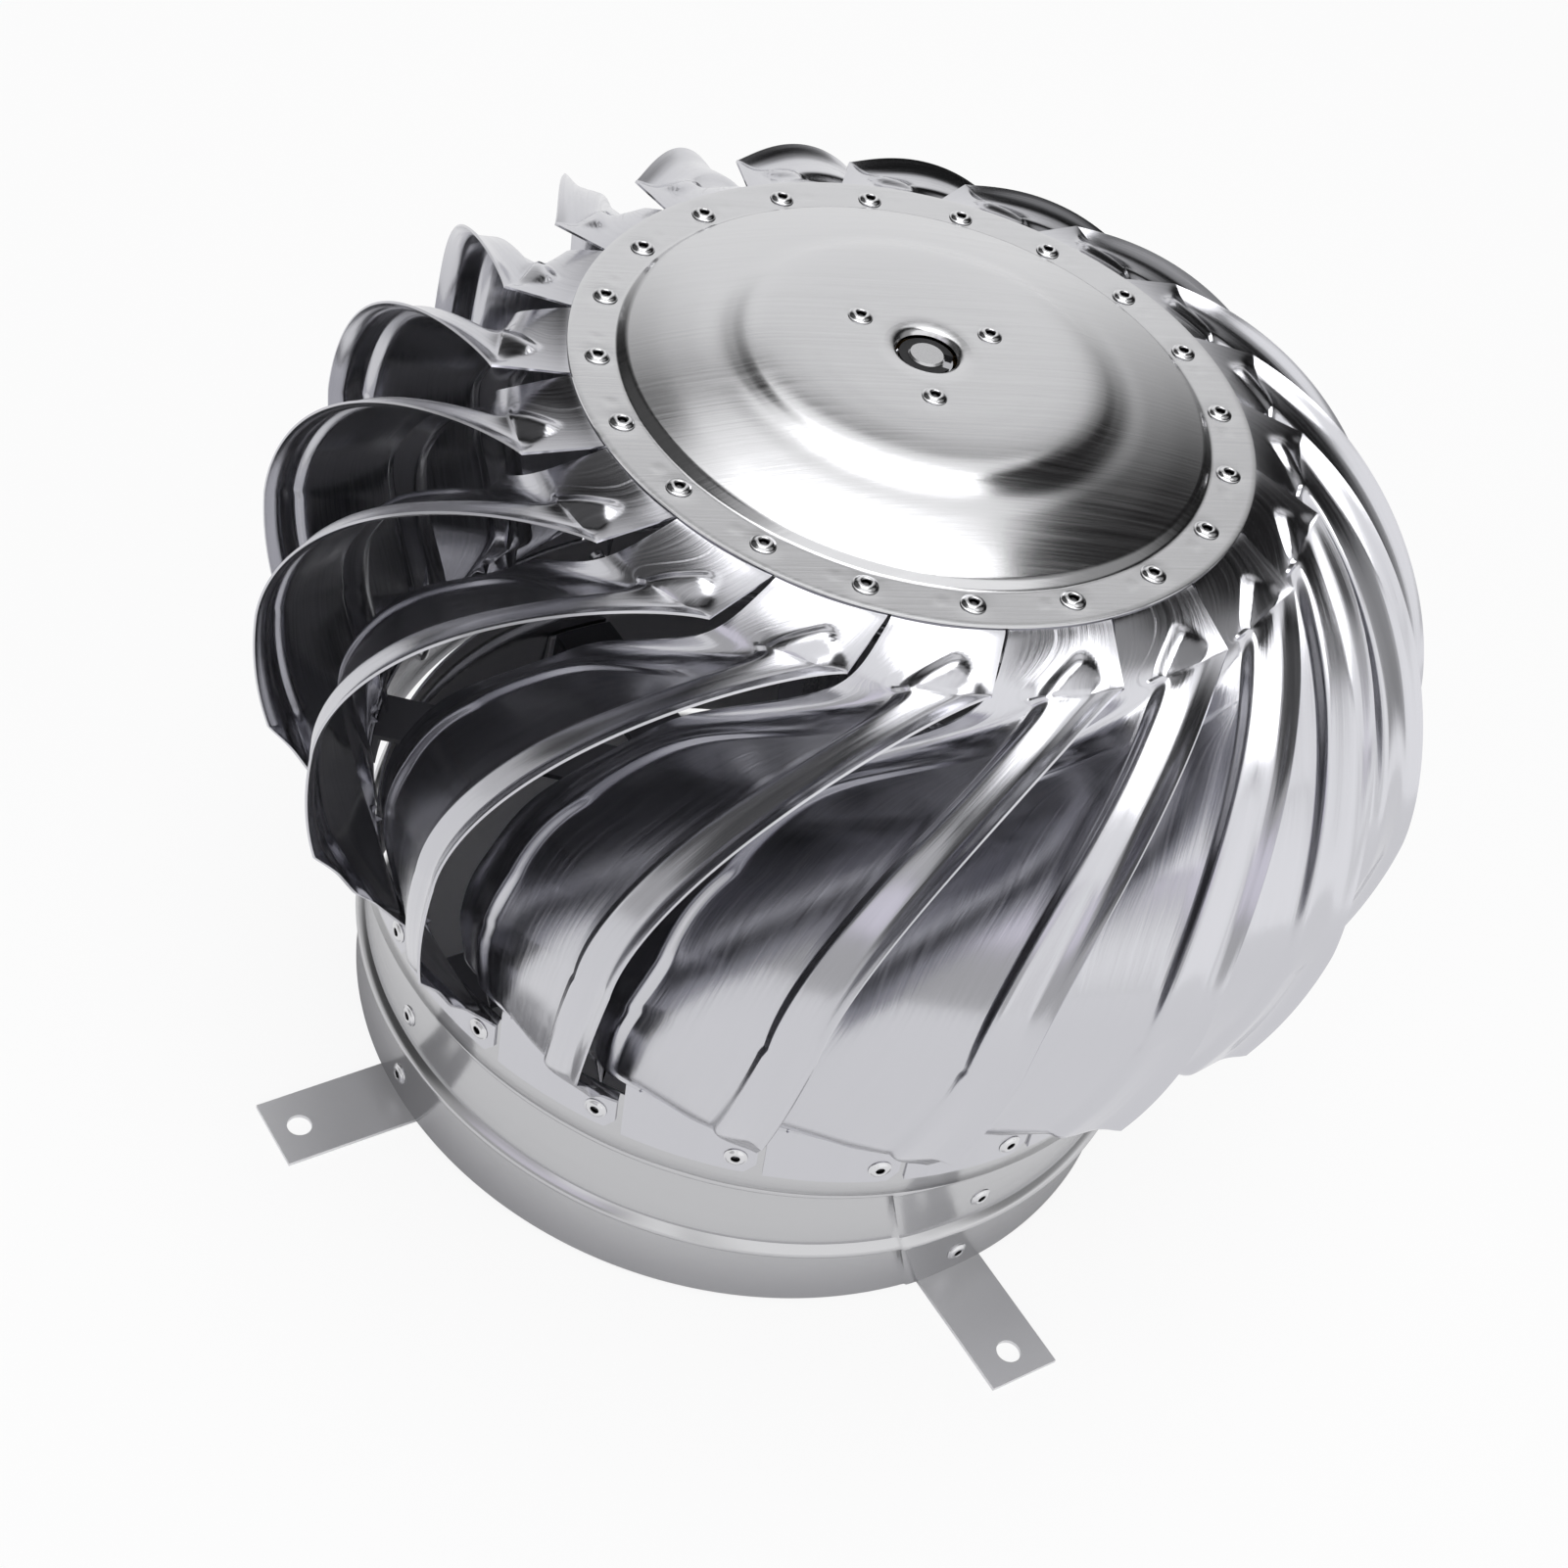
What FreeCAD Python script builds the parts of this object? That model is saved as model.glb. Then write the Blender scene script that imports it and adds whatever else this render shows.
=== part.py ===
import FreeCAD, Part
import Sketcher
import math
import os

from FreeCAD import Placement, Rotation, Vector

# Wind-driven roof turbine ventilator for a 300 mm flue.
# Millimetres, +Z up, origin on the turning axis at the underside of the mounting feet.

doc = FreeCAD.newDocument("RoofTurbine")
AXIS = Vector(0, 0, 1)
ORIGIN = Vector(0, 0, 0)

# Driving dimensions: name, value
DRIVING = [
    # fixed neck ring and its feet
    ("neck_r", 150.0),            # outside radius of the neck, a 300 mm flue
    ("neck_wall", 1.0),
    ("neck_top", 80.0),
    ("bead_low_z", 31.5),         # swaged stiffening beads round the neck
    ("bead_high_z", 67.0),
    ("bead_half", 3.5),
    ("bead_proud", 2.2),
    ("foot_sheet", 1.5),
    ("foot_width", 28.0),
    ("foot_reach", 49.0),         # from the neck's outside to the end of a foot
    ("foot_leg_top", 56.0),
    ("roof_hole_reach", 38.6),    # from the neck's outside to the screw into the roof plate
    ("roof_hole_d", 9.0),
    ("foot_azimuth", 45.0),
    ("foot_rivet_low_z", 12.3),
    ("foot_rivet_high_z", 45.9),
    # cross bars and the fixed shaft
    ("bar_width", 25.0),
    ("bar_sheet", 3.0),
    ("bar_low_z", 52.0),
    ("bar_tab_z", 38.0),
    ("shaft_r", 6.0),
    ("shaft_low_z", 34.0),
    ("shaft_top_z", 306.4),
    ("nut_height", 10.8),         # M12 nut, 18 mm across flats
    ("nut_flats", 18.0),
    ("washer_r", 12.0),
    ("washer_sheet", 2.5),
    ("spacer_r", 8.0),
    # ball bearings, 12 x 32 x 10
    ("race_out_r", 16.0),
    ("race_width", 10.0),
    ("race_land", 2.9),
    ("ball_r", 2.95),
    ("ball_pitch_r", 11.0),
    ("ball_clearance", 0.15),
    ("cage_half", 3.8),
    ("cage_wall", 1.6),
    # bearing housings
    ("hub_flange_r", 32.0),
    ("hub_flange", 3.0),
    ("hub_cup_r", 20.0),
    ("hub_shoulder_r", 13.0),
    ("hub_skirt", 2.2),           # cup wall that goes on below the retaining ring
    ("hub_rivet_r", 24.5),
    ("hub_azimuth", 45.4),
    ("clip_sheet", 1.2),
    ("clip_bite", 0.8),
    ("clip_gap", 7.0),
    # top cap
    ("cap_sheet", 0.8),
    ("cap_r", 112.5),
    ("cap_flange_z", 293.7),
    ("cap_fold_r", 97.0),
    ("cap_fold_run", 2.6),
    ("cap_fold_rise", 2.4),
    ("cap_step_r", 62.5),
    ("cap_step_z", 303.2),
    ("cap_dome_bulge", 1.0),
    ("cap_plateau_r", 57.5),
    ("cap_shoulder_z", 307.0),
    ("cap_flat_r", 36.0),
    ("cap_top_z", 308.2),
    ("cap_hole_r", 10.0),
    ("cap_dimple", 1.6),
    # skirt ring that carries the feet of the vanes, and the spider in it
    ("skirt_gap", 4.6),           # between the neck's outside and the ring's inside
    ("skirt_wall", 1.0),
    ("skirt_low_z", 71.5),
    ("skirt_top_z", 99.5),
    ("spider_sheet", 2.0),
    ("spider_top_z", 98.0),
    ("spider_hub_r", 34.0),
    ("spider_arm", 22.0),
    ("spider_tab_z", 83.7),
    # vanes
    ("vane_count", 20.0),
    ("vane_azimuth", 2.33),       # first vane's top rivet
    ("vane_sheet", 0.8),
    ("vane_rivet_r", 103.2),
    ("vane_tab_r", 98.0),
    ("vane_tab_half", 8.75),      # half angle of a top tab
    ("vane_tab_back", 4.35),      # middle of a top tab, turned back from its rivet
    ("vane_foot_sweep", 31.4),    # foot rivet, turned back from the top rivet
    ("vane_foot_z", 88.2),
    ("belly_r", 202.2),           # largest radius of the ball of vanes
    ("belly_z", 196.0),
    ("vane_bead_edge", 6.5),      # stiffening beads, one beside each long edge
    ("vane_bead_wide", 12.0),
    ("vane_bead_slope", 3.0),
    ("vane_bead_high", 2.8),
    # pop rivets
    ("rivet_head_r", 4.2),
    ("rivet_head", 1.3),
    ("rivet_shank_r", 2.4),
    ("rivet_eye_r", 1.1),
    ("rivet_tail_r", 3.2),
    ("rivet_tail", 2.2),
    # clearances
    ("slip_fit", 0.1),
    ("close_fit", 0.02),
]

book = doc.addObject("Spreadsheet::Sheet", "Dims")
for row, (alias, number) in enumerate(DRIVING, start=1):
    book.set("A%d" % row, alias)
    book.set("B%d" % row, str(number))
    book.setAlias("B%d" % row, alias)
doc.recompute()


class Size:
    """A length worked out from the sheet, with the expression that keeps it bound to the sheet."""

    def __init__(self, number, expression):
        self.number = number
        self.expression = expression

    def joined(self, sign, other, number):
        return Size(number, "(%s %s %s)" % (self.expression, sign, other.expression))

    def __add__(self, other):
        other = as_size(other)
        return self.joined("+", other, self.number + other.number)

    def __sub__(self, other):
        other = as_size(other)
        return self.joined("-", other, self.number - other.number)

    def __mul__(self, other):
        other = as_size(other)
        return self.joined("*", other, self.number * other.number)

    def __truediv__(self, other):
        other = as_size(other)
        return self.joined("/", other, self.number / other.number)

    def __neg__(self):
        return as_size(0) - self


def as_size(value):
    """Sizes stay as they are; plain numbers become sizes."""
    return value if isinstance(value, Size) else Size(float(value), "%g" % value)


class Sheet:
    """Reads the sheet by name: dim.neck_r is the size in the cell called neck_r."""

    def __getattr__(self, alias):
        return Size(float(book.get(alias)), "Dims." + alias)


dim = Sheet()
ZERO = as_size(0)
NODES = []


def node(thing, label, turn=0.0):
    """Names a finished sub-part, turned about the axis by so many degrees."""
    thing.Label = label
    thing.Placement = Placement(ORIGIN, Rotation(AXIS, turn))
    NODES.append(thing)
    return thing


def bind(thing, **sizes):
    """Binds properties of an object to the sheet."""
    for name, size in sizes.items():
        thing.setExpression(name, as_size(size).expression)


def cylinder(radius, low, high, x=ZERO, y=ZERO):
    """Upright cylinder between two heights."""
    solid = doc.addObject("Part::Cylinder", "Cylinder")
    bind(solid, Radius=radius, Height=as_size(high) - low)
    bind(solid, **{"Placement.Base.x": x, "Placement.Base.y": y, "Placement.Base.z": low})
    return solid


def spoke(radius, height, start, length, turn=0.0):
    """Cylinder lying along a radius, as a drill for the rivets in the rings."""
    solid = doc.addObject("Part::Cylinder", "Spoke")
    bind(solid, Radius=radius, Height=length)
    lie = Rotation(AXIS, turn) * Rotation(Vector(0, 1, 0), 90)
    middle = Rotation(AXIS, turn).multVec(Vector(start.number, 0, height.number))
    solid.Placement = Placement(middle, lie)
    return solid


def box(x, y, z, long, wide, high):
    """Box with its lowest corner at x, y, z."""
    solid = doc.addObject("Part::Box", "Box")
    bind(solid, Length=long, Width=wide, Height=high)
    bind(solid, **{"Placement.Base.x": x, "Placement.Base.y": y, "Placement.Base.z": z})
    return solid


def cut(base, *tools):
    """Base less each of the tools."""
    for tool in tools:
        result = doc.addObject("Part::Cut", "Cut")
        result.Base = base
        result.Tool = tool
        base = result
    return base


def fuse(*shapes):
    result = doc.addObject("Part::MultiFuse", "Fuse")
    result.Shapes = list(shapes)
    return result


def common(first, second):
    result = doc.addObject("Part::Common", "Common")
    result.Base = first
    result.Tool = second
    return result


def pipe(outer, inner, low, high):
    return cut(cylinder(outer, low, high), cylinder(inner, low, high))


def curved_tab(outer, sheet, width, low, high):
    """Strip of sheet bent to a circle about the axis, centred on +X."""
    strip = pipe(outer, outer - sheet, low, high)
    window = box(outer / 2, -width / 2, low, outer, width, as_size(high) - low)
    return common(strip, window)


def new_body(label):
    return doc.addObject("PartDesign::Body", label)


def sketch_on(body, role, name, turn=0.0):
    """Sketch on one of the body's own origin planes."""
    plane = [item for item in body.Origin.OriginFeatures if item.Role == role][0]
    sketch = body.newObject("Sketcher::SketchObject", name)
    sketch.AttachmentSupport = [(plane, "")]
    sketch.MapMode = "FlatFace"
    sketch.AttachmentOffset = Placement(ORIGIN, Rotation(AXIS, turn))
    return sketch


class Rules:
    """Constraints of one sketch, all added at once, with the sizes that bind them to the sheet."""

    def __init__(self, sketch):
        self.sketch = sketch
        self.constraints = []
        self.sizes = []

    def add(self, size, kind, *where):
        values = where if size is None else where + (size.number,)
        self.constraints.append(Sketcher.Constraint(kind, *values))
        self.sizes.append(size)

    def pin(self, edge, end, x, y):
        """Holds one end of an edge at x, y."""
        self.add(x, "DistanceX", -1, 1, edge, end)
        self.add(y, "DistanceY", -1, 1, edge, end)

    def apply(self):
        self.sketch.addConstraint(self.constraints)
        for number, size in enumerate(self.sizes):
            if size is not None:
                self.sketch.setExpression("Constraints[%d]" % number, size.expression)


def arc_through(start, end, bulge):
    """Arc between two points that stands out from their chord, to its left if bulge is positive."""
    a = Vector(start[0].number, start[1].number, 0)
    b = Vector(end[0].number, end[1].number, 0)
    chord = b - a
    side = Vector(-chord.y, chord.x, 0).normalize()
    middle = (a + b) / 2 + side * bulge.number
    # A sketch keeps its arcs anticlockwise, which is a bulge to the right.
    return Part.Arc(b, middle, a) if bulge.number > 0 else Part.Arc(a, middle, b)


def arc_radius(start, end, bulge):
    wide = end[0] - start[0]
    high = end[1] - start[1]
    radius = ((wide * wide + high * high) / 4 + bulge * bulge) / (bulge * 2)
    return -radius if radius.number < 0 else radius


def draw_profile(sketch, points):
    """Closed outline. A point is (x, y) or (x, y, bulge), the bulge belonging to the edge that follows."""
    points = [tuple(as_size(value) for value in point) for point in points]
    total = len(points)
    rules = Rules(sketch)
    ends = []
    for index, point in enumerate(points):
        following = points[(index + 1) % total]
        a = Vector(point[0].number, point[1].number, 0)
        b = Vector(following[0].number, following[1].number, 0)
        if len(point) == 3:
            sketch.addGeometry(arc_through(point, following, point[2]), False)
            rules.add(arc_radius(point, following, point[2]), "Radius", index)
        else:
            sketch.addGeometry(Part.LineSegment(a, b), False)
        kept = (sketch.Geometry[index].StartPoint - a).Length < (sketch.Geometry[index].EndPoint - a).Length
        ends.append((1, 2) if kept else (2, 1))
    for index, point in enumerate(points):
        before = (index - 1) % total
        rules.add(None, "Coincident", before, ends[before][1], index, ends[index][0])
        rules.pin(index, ends[index][0], point[0], point[1])
    rules.apply()


def revolve(body, points):
    """Turns an outline of (radius, height) points about the axis."""
    sketch = sketch_on(body, "XZ_Plane", "Profile")
    draw_profile(sketch, points)
    solid = body.newObject("PartDesign::Revolution", "Revolution")
    solid.Profile = sketch
    solid.ReferenceAxis = (sketch, ["V_Axis"])
    solid.Angle = 360
    body.Tip = solid
    doc.recompute()
    return solid


def round_pattern(body, feature, count):
    """Repeats a feature round the axis."""
    pattern = body.newObject("PartDesign::PolarPattern", "Around")
    pattern.Originals = [feature]
    axis = [item for item in body.Origin.OriginFeatures if item.Role == "Z_Axis"][0]
    pattern.Axis = (axis, [""])
    pattern.Angle = 360
    pattern.Occurrences = count
    body.Tip = pattern
    doc.recompute()


def circle_sketch(body, role, name, x, y, radius, turn=0.0):
    sketch = sketch_on(body, role, name, turn)
    sketch.addGeometry(Part.Circle(Vector(x.number, y.number, 0), AXIS, radius.number), False)
    rules = Rules(sketch)
    rules.pin(0, 3, x, y)
    rules.add(radius, "Radius", 0)
    rules.apply()
    return sketch


def upright_holes(body, pitch_r, radius, count, turn=0.0):
    """Holes down through the body on a circle about the axis."""
    before = body.Tip.Shape.Volume
    pocket = body.newObject("PartDesign::Pocket", "Holes")
    pocket.Profile = circle_sketch(body, "XY_Plane", "Hole", pitch_r, ZERO, radius, turn)
    pocket.Midplane = True
    pocket.Type = "ThroughAll"
    body.Tip = pocket
    doc.recompute()
    round_pattern(body, pocket, count)
    assert body.Tip.Shape.Volume < before, body.Label


def radial_holes(body, reach, height, radius, count):
    """Holes through the wall of a ring, the first one on +X."""
    before = body.Tip.Shape.Volume
    pocket = body.newObject("PartDesign::Pocket", "Holes")
    pocket.Profile = circle_sketch(body, "YZ_Plane", "Hole", ZERO, height, radius)
    pocket.Type = "Length"
    pocket.Reversed = True
    bind(pocket, Length=reach)
    body.Tip = pocket
    doc.recompute()
    round_pattern(body, pocket, count)
    assert body.Tip.Shape.Volume < before, body.Label


# Derived places
hole_r = dim.rivet_shank_r + dim.slip_fit
leg_out = dim.neck_r - dim.neck_wall - dim.slip_fit
leg_in = leg_out - dim.foot_sheet
foot_end_r = dim.neck_r + dim.foot_reach
roof_hole_r = dim.neck_r + dim.roof_hole_reach
bar_out = leg_in - dim.slip_fit
bar_high_z = dim.bar_low_z + dim.bar_sheet
bars_top = bar_high_z + dim.bar_sheet
low_nut_top = dim.bar_low_z - dim.washer_sheet
high_nut_low = bars_top + dim.washer_sheet
high_nut_top = high_nut_low + dim.nut_height
cap_under = dim.cap_top_z - dim.cap_sheet
high_race_top = cap_under - dim.hub_flange
high_race_low = high_race_top - dim.race_width
low_flange_top = dim.spider_top_z - dim.spider_sheet
low_race_top = low_flange_top - dim.hub_flange
low_race_low = low_race_top - dim.race_width
skirt_in = dim.neck_r + dim.skirt_gap
skirt_r = skirt_in + dim.skirt_wall
foot_turn = dim.vane_azimuth.number - dim.vane_foot_sweep.number
pitch_angle = 360.0 / dim.vane_count.number
vane_total = int(dim.vane_count.number)
spider_turn = foot_turn + 2 * pitch_angle


def neck_ring():
    """Rolled sheet ring with two swaged beads; it is riveted to the feet and never turns."""
    body = new_body("neck_ring")
    outer = dim.neck_r
    inner = dim.neck_r - dim.neck_wall
    low_a = dim.bead_low_z - dim.bead_half
    low_b = dim.bead_low_z + dim.bead_half
    high_a = dim.bead_high_z - dim.bead_half
    high_b = dim.bead_high_z + dim.bead_half
    out_bulge = -dim.bead_proud
    revolve(body, [
        (outer, dim.foot_sheet), (outer, low_a, out_bulge), (outer, low_b), (outer, high_a, out_bulge),
        (outer, high_b), (outer, dim.neck_top), (inner, dim.neck_top), (inner, high_b, dim.bead_proud),
        (inner, high_a), (inner, low_b, dim.bead_proud), (inner, low_a), (inner, dim.foot_sheet)])
    for height in (dim.foot_rivet_low_z, dim.foot_rivet_high_z):
        radial_holes(body, dim.neck_r + dim.bead_proud * 2, height, hole_r, 4)
    node(body, "neck_ring", dim.foot_azimuth.number)


def mounting_bracket(number):
    """L-shaped foot: a curved leg inside the neck and a flat foot under its edge."""
    leg = curved_tab(leg_out, dim.foot_sheet, dim.foot_width, ZERO, dim.foot_leg_top)
    foot = box(leg_in, -dim.foot_width / 2, ZERO, foot_end_r - leg_in, dim.foot_width, dim.foot_sheet)
    roof_hole = cylinder(dim.roof_hole_d / 2, -dim.foot_sheet, dim.foot_sheet * 2, roof_hole_r)
    low_hole = spoke(hole_r, dim.foot_rivet_low_z, leg_in - 5, as_size(10))
    high_hole = spoke(hole_r, dim.foot_rivet_high_z, leg_in - 5, as_size(10))
    turn = dim.foot_azimuth.number + 90 * (number - 1)
    node(cut(fuse(leg, foot), roof_hole, low_hole, high_hole), "mounting_bracket_%d" % number, turn)


def cross_bar(label, low, turn):
    """Flat bar across the neck; its ends are bent down and riveted to two opposite feet."""
    reach = bar_out - dim.bar_sheet / 2
    bar = box(-reach, -dim.bar_width / 2, low, reach * 2, dim.bar_width, dim.bar_sheet)
    parts = [bar]
    for side in (0, 180):
        tab = curved_tab(bar_out, dim.bar_sheet, dim.bar_width, dim.bar_tab_z, low + dim.bar_sheet)
        tab.Placement = Placement(ORIGIN, Rotation(AXIS, side))
        parts.append(tab)
    shaft_hole = cylinder(dim.shaft_r + dim.slip_fit, low - 1, low + dim.bar_sheet + 1)
    holes = [spoke(hole_r, dim.foot_rivet_high_z, bar_out - 10, as_size(20), side) for side in (0, 180)]
    node(cut(fuse(*parts), shaft_hole, *holes), label, turn)


def shaft():
    """Fixed shaft, with a groove for the retaining ring above the top bearing."""
    body = new_body("shaft")
    radius = dim.shaft_r - dim.close_fit
    groove = radius - dim.clip_bite / 2
    clip_top = high_race_top + dim.clip_sheet + dim.slip_fit
    chamfer = dim.clip_sheet / 2
    revolve(body, [
        (ZERO, dim.shaft_low_z), (radius - chamfer, dim.shaft_low_z),
        (radius, dim.shaft_low_z + chamfer), (radius, high_race_top), (groove, high_race_top),
        (groove, clip_top), (radius, clip_top), (radius, dim.shaft_top_z - chamfer),
        (radius - chamfer, dim.shaft_top_z), (ZERO, dim.shaft_top_z)])
    node(body, "shaft")


def hex_nut(low):
    prism = doc.addObject("Part::Prism", "Nut")
    prism.Polygon = 6
    bind(prism, Circumradius=dim.nut_flats / as_size(math.sqrt(3)), Height=dim.nut_height)
    bind(prism, **{"Placement.Base.z": low})
    return cut(prism, cylinder(dim.shaft_r, low, low + dim.nut_height))


def group(label, members, turn=0.0):
    """Several identical separate solids as one node."""
    bundle = doc.addObject("Part::Compound", label)
    bundle.Links = members
    node(bundle, label, turn)


def shaft_fasteners():
    """Two nuts with washers that clamp the shaft to the crossing bars."""
    group("shaft_nuts", [hex_nut(low_nut_top - dim.nut_height), hex_nut(high_nut_low)])
    lows = (low_nut_top, bars_top)
    washers = [pipe(dim.washer_r, dim.shaft_r + dim.slip_fit, low, low + dim.washer_sheet) for low in lows]
    group("shaft_washers", washers)


def spacers():
    """Tubes that hold the two inner races at their heights on the shaft."""
    bore = dim.shaft_r + dim.slip_fit
    node(pipe(dim.spacer_r, bore, high_nut_top, low_race_low), "lower_spacer")
    node(pipe(dim.spacer_r, bore, low_race_top, high_race_low), "upper_spacer")


def groove_ring(middle):
    """Round groove that the balls run in."""
    ring = doc.addObject("Part::Torus", "Raceway")
    bind(ring, Radius1=dim.ball_pitch_r, Radius2=dim.ball_r + dim.ball_clearance)
    bind(ring, **{"Placement.Base.z": middle})
    return ring


def ball_bearing(prefix, low):
    """Inner race on the shaft, outer race in the housing, seven balls and their cage."""
    high = low + dim.race_width
    middle = low + dim.race_width / 2
    inner = pipe(dim.shaft_r + dim.race_land, dim.shaft_r, low, high)
    node(cut(inner, groove_ring(middle)), prefix + "_inner_race")
    outer = pipe(dim.race_out_r, dim.race_out_r - dim.race_land, low, high)
    node(cut(outer, groove_ring(middle)), prefix + "_outer_race")
    cage_out = dim.ball_pitch_r + dim.cage_wall / 2
    cage = pipe(cage_out, cage_out - dim.cage_wall, middle - dim.cage_half, middle + dim.cage_half)
    balls = []
    pockets = []
    for count in range(7):
        turn = count * 360 / 7
        ball = doc.addObject("Part::Sphere", "Ball")
        bind(ball, Radius=dim.ball_r)
        place = Rotation(AXIS, turn).multVec(Vector(dim.ball_pitch_r.number, 0, middle.number))
        ball.Placement = Placement(place, Rotation())
        balls.append(ball)
        pockets.append(spoke(dim.ball_r + dim.ball_clearance, middle, dim.spacer_r, dim.spacer_r, turn))
    group(prefix + "_balls", balls)
    node(cut(cage, fuse(*pockets)), prefix + "_cage")


def bearing_housing(label, top):
    """Flanged cup with a shoulder over the outer race and a groove for its retaining ring."""
    body = new_body(label)
    race_top = top - dim.hub_flange
    race_low = race_top - dim.race_width
    clip_low = race_low - dim.clip_sheet - dim.slip_fit
    bore = dim.race_out_r + dim.close_fit
    revolve(body, [
        (dim.hub_shoulder_r, top), (dim.hub_flange_r, top), (dim.hub_flange_r, race_top),
        (dim.hub_cup_r, race_top), (dim.hub_cup_r, clip_low - dim.hub_skirt),
        (bore, clip_low - dim.hub_skirt), (bore, clip_low), (bore + dim.clip_bite, clip_low),
        (bore + dim.clip_bite, race_low), (bore, race_low), (bore, race_top),
        (dim.hub_shoulder_r, race_top)])
    upright_holes(body, dim.hub_rivet_r, hole_r, 3)
    node(body, label, dim.hub_azimuth.number)


def retaining_ring(label, outer, inner, low):
    """Open spring ring in a groove."""
    ring = pipe(outer, inner, low, low + dim.clip_sheet)
    gap = box(ZERO, -dim.clip_gap / 2, low - 1, outer + 1, dim.clip_gap, dim.clip_sheet + 2)
    node(cut(ring, gap), label)


def retaining_rings():
    lip = dim.race_land + dim.clip_bite / 2
    groove = dim.race_out_r + dim.close_fit + dim.clip_bite - dim.slip_fit
    below = dim.clip_sheet + dim.slip_fit / 2
    retaining_ring("upper_housing_clip", groove, groove - lip, high_race_low - below)
    retaining_ring("lower_housing_clip", groove, groove - lip, low_race_low - below)
    shaft_groove = dim.shaft_r - dim.clip_bite / 2 + dim.slip_fit / 2
    retaining_ring("shaft_clip", dim.shaft_r + dim.race_land, shaft_groove, high_race_top + dim.slip_fit / 2)


def top_cap():
    """Pressed cap: flat rivet flange, low dome, raised plateau and a dimpled centre hole."""
    body = new_body("top_cap")
    edge_r = dim.cap_fold_r - dim.cap_fold_run
    edge_z = dim.cap_flange_z + dim.cap_fold_rise
    rim_r = dim.cap_hole_r + dim.cap_dimple
    outside = [
        (dim.cap_r, dim.cap_flange_z, None), (dim.cap_fold_r, dim.cap_flange_z, None),
        (edge_r, edge_z, -dim.cap_dome_bulge), (dim.cap_step_r, dim.cap_step_z, None),
        (dim.cap_plateau_r, dim.cap_shoulder_z, -dim.cap_dome_bulge / 4),
        (dim.cap_flat_r, dim.cap_top_z, None), (rim_r, dim.cap_top_z, None),
        (dim.cap_hole_r, dim.cap_top_z - dim.cap_dimple, None)]
    upper = [(r, z) if bulge is None else (r, z, bulge) for r, z, bulge in outside]
    lower = []
    for index in range(len(outside) - 1, -1, -1):
        r, z, bulge = outside[index]
        arriving = outside[index - 1][2] if index else None
        under = z - dim.cap_sheet
        lower.append((r, under) if arriving is None else (r, under, -arriving))
    revolve(body, upper + lower)
    upright_holes(body, dim.vane_rivet_r, hole_r, vane_total)
    upright_holes(body, dim.hub_rivet_r, hole_r, 3, dim.hub_azimuth.number - dim.vane_azimuth.number)
    node(body, "top_cap", dim.vane_azimuth.number)


def skirt_ring():
    """Ring round the top of the neck, clear of it, that carries the feet of all vanes."""
    body = new_body("skirt_ring")
    revolve(body, [(skirt_in, dim.skirt_low_z), (skirt_r, dim.skirt_low_z),
                   (skirt_r, dim.skirt_top_z), (skirt_in, dim.skirt_top_z)])
    radial_holes(body, skirt_r * 1.1, dim.vane_foot_z, hole_r, vane_total)
    node(body, "skirt_ring", foot_turn)


def spider():
    """Four-armed plate between the lower bearing housing and the skirt ring."""
    low = dim.spider_top_z - dim.spider_sheet
    tab_out = skirt_in - dim.slip_fit
    parts = [cylinder(dim.spider_hub_r, low, dim.spider_top_z)]
    holes = [cylinder(dim.hub_shoulder_r, low - 1, dim.spider_top_z + 1)]
    for side in range(0, 360, 90):
        arm = box(ZERO, -dim.spider_arm / 2, low, tab_out - dim.spider_sheet / 2, dim.spider_arm,
                  dim.spider_sheet)
        tab = curved_tab(tab_out, dim.spider_sheet, dim.spider_arm, dim.spider_tab_z, dim.spider_top_z)
        for piece in (arm, tab):
            turn = Placement(ORIGIN, Rotation(AXIS, side))
            if piece is arm:
                turn = turn * Placement(Vector(0, -dim.spider_arm.number / 2, low.number), Rotation())
                piece.setExpression("Placement.Base.x", None)
                piece.setExpression("Placement.Base.y", None)
                piece.setExpression("Placement.Base.z", None)
            piece.Placement = turn
            parts.append(piece)
        holes.append(spoke(hole_r, dim.vane_foot_z, tab_out - 8, as_size(12), side))
    for count in range(3):
        angle = math.radians(dim.hub_azimuth.number - spider_turn + 120 * count)
        holes.append(cylinder(hole_r, low - 1, dim.spider_top_z + 1,
                              dim.hub_rivet_r * math.cos(angle), dim.hub_rivet_r * math.sin(angle)))
    node(cut(fuse(*parts), *holes), "spider", spider_turn)


def rivet_shape(grip):
    """Pop rivet: domed head with the eye left by its mandrel, shank and set tail. The head's seat is at z 0."""
    head_r = dim.rivet_head_r.number
    head = dim.rivet_head.number
    shank = dim.rivet_shank_r.number
    eye = dim.rivet_eye_r.number
    tail_r = dim.rivet_tail_r.number
    tail_end = -grip - dim.rivet_tail.number
    outline = [(0, tail_end), (tail_r * 0.7, tail_end), (tail_r, -grip), (shank, -grip), (shank, 0), (head_r, 0),
               (head_r, head * 0.3), (head_r * 0.85, head * 0.75), (head_r * 0.5, head), (eye, head),
               (eye, head * 0.25), (0, head * 0.25), (0, tail_end)]
    face = Part.Face(Part.makePolygon([Vector(r, 0, z) for r, z in outline]))
    return face.revolve(ORIGIN, AXIS, 360)


def rivet_group(label, grip, places):
    """One node of separate rivets, each set down by its own placement."""
    rivet = rivet_shape(grip)
    bundle = doc.addObject("Part::Feature", label)
    bundle.Shape = Part.makeCompound([rivet.transformed(place.toMatrix(), copy=True) for place in places])
    node(bundle, label)


def upright(radius, height, azimuth):
    """Place for a rivet whose head is on top."""
    turn = Rotation(AXIS, azimuth)
    return Placement(turn.multVec(Vector(radius, 0, height)), turn)


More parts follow.
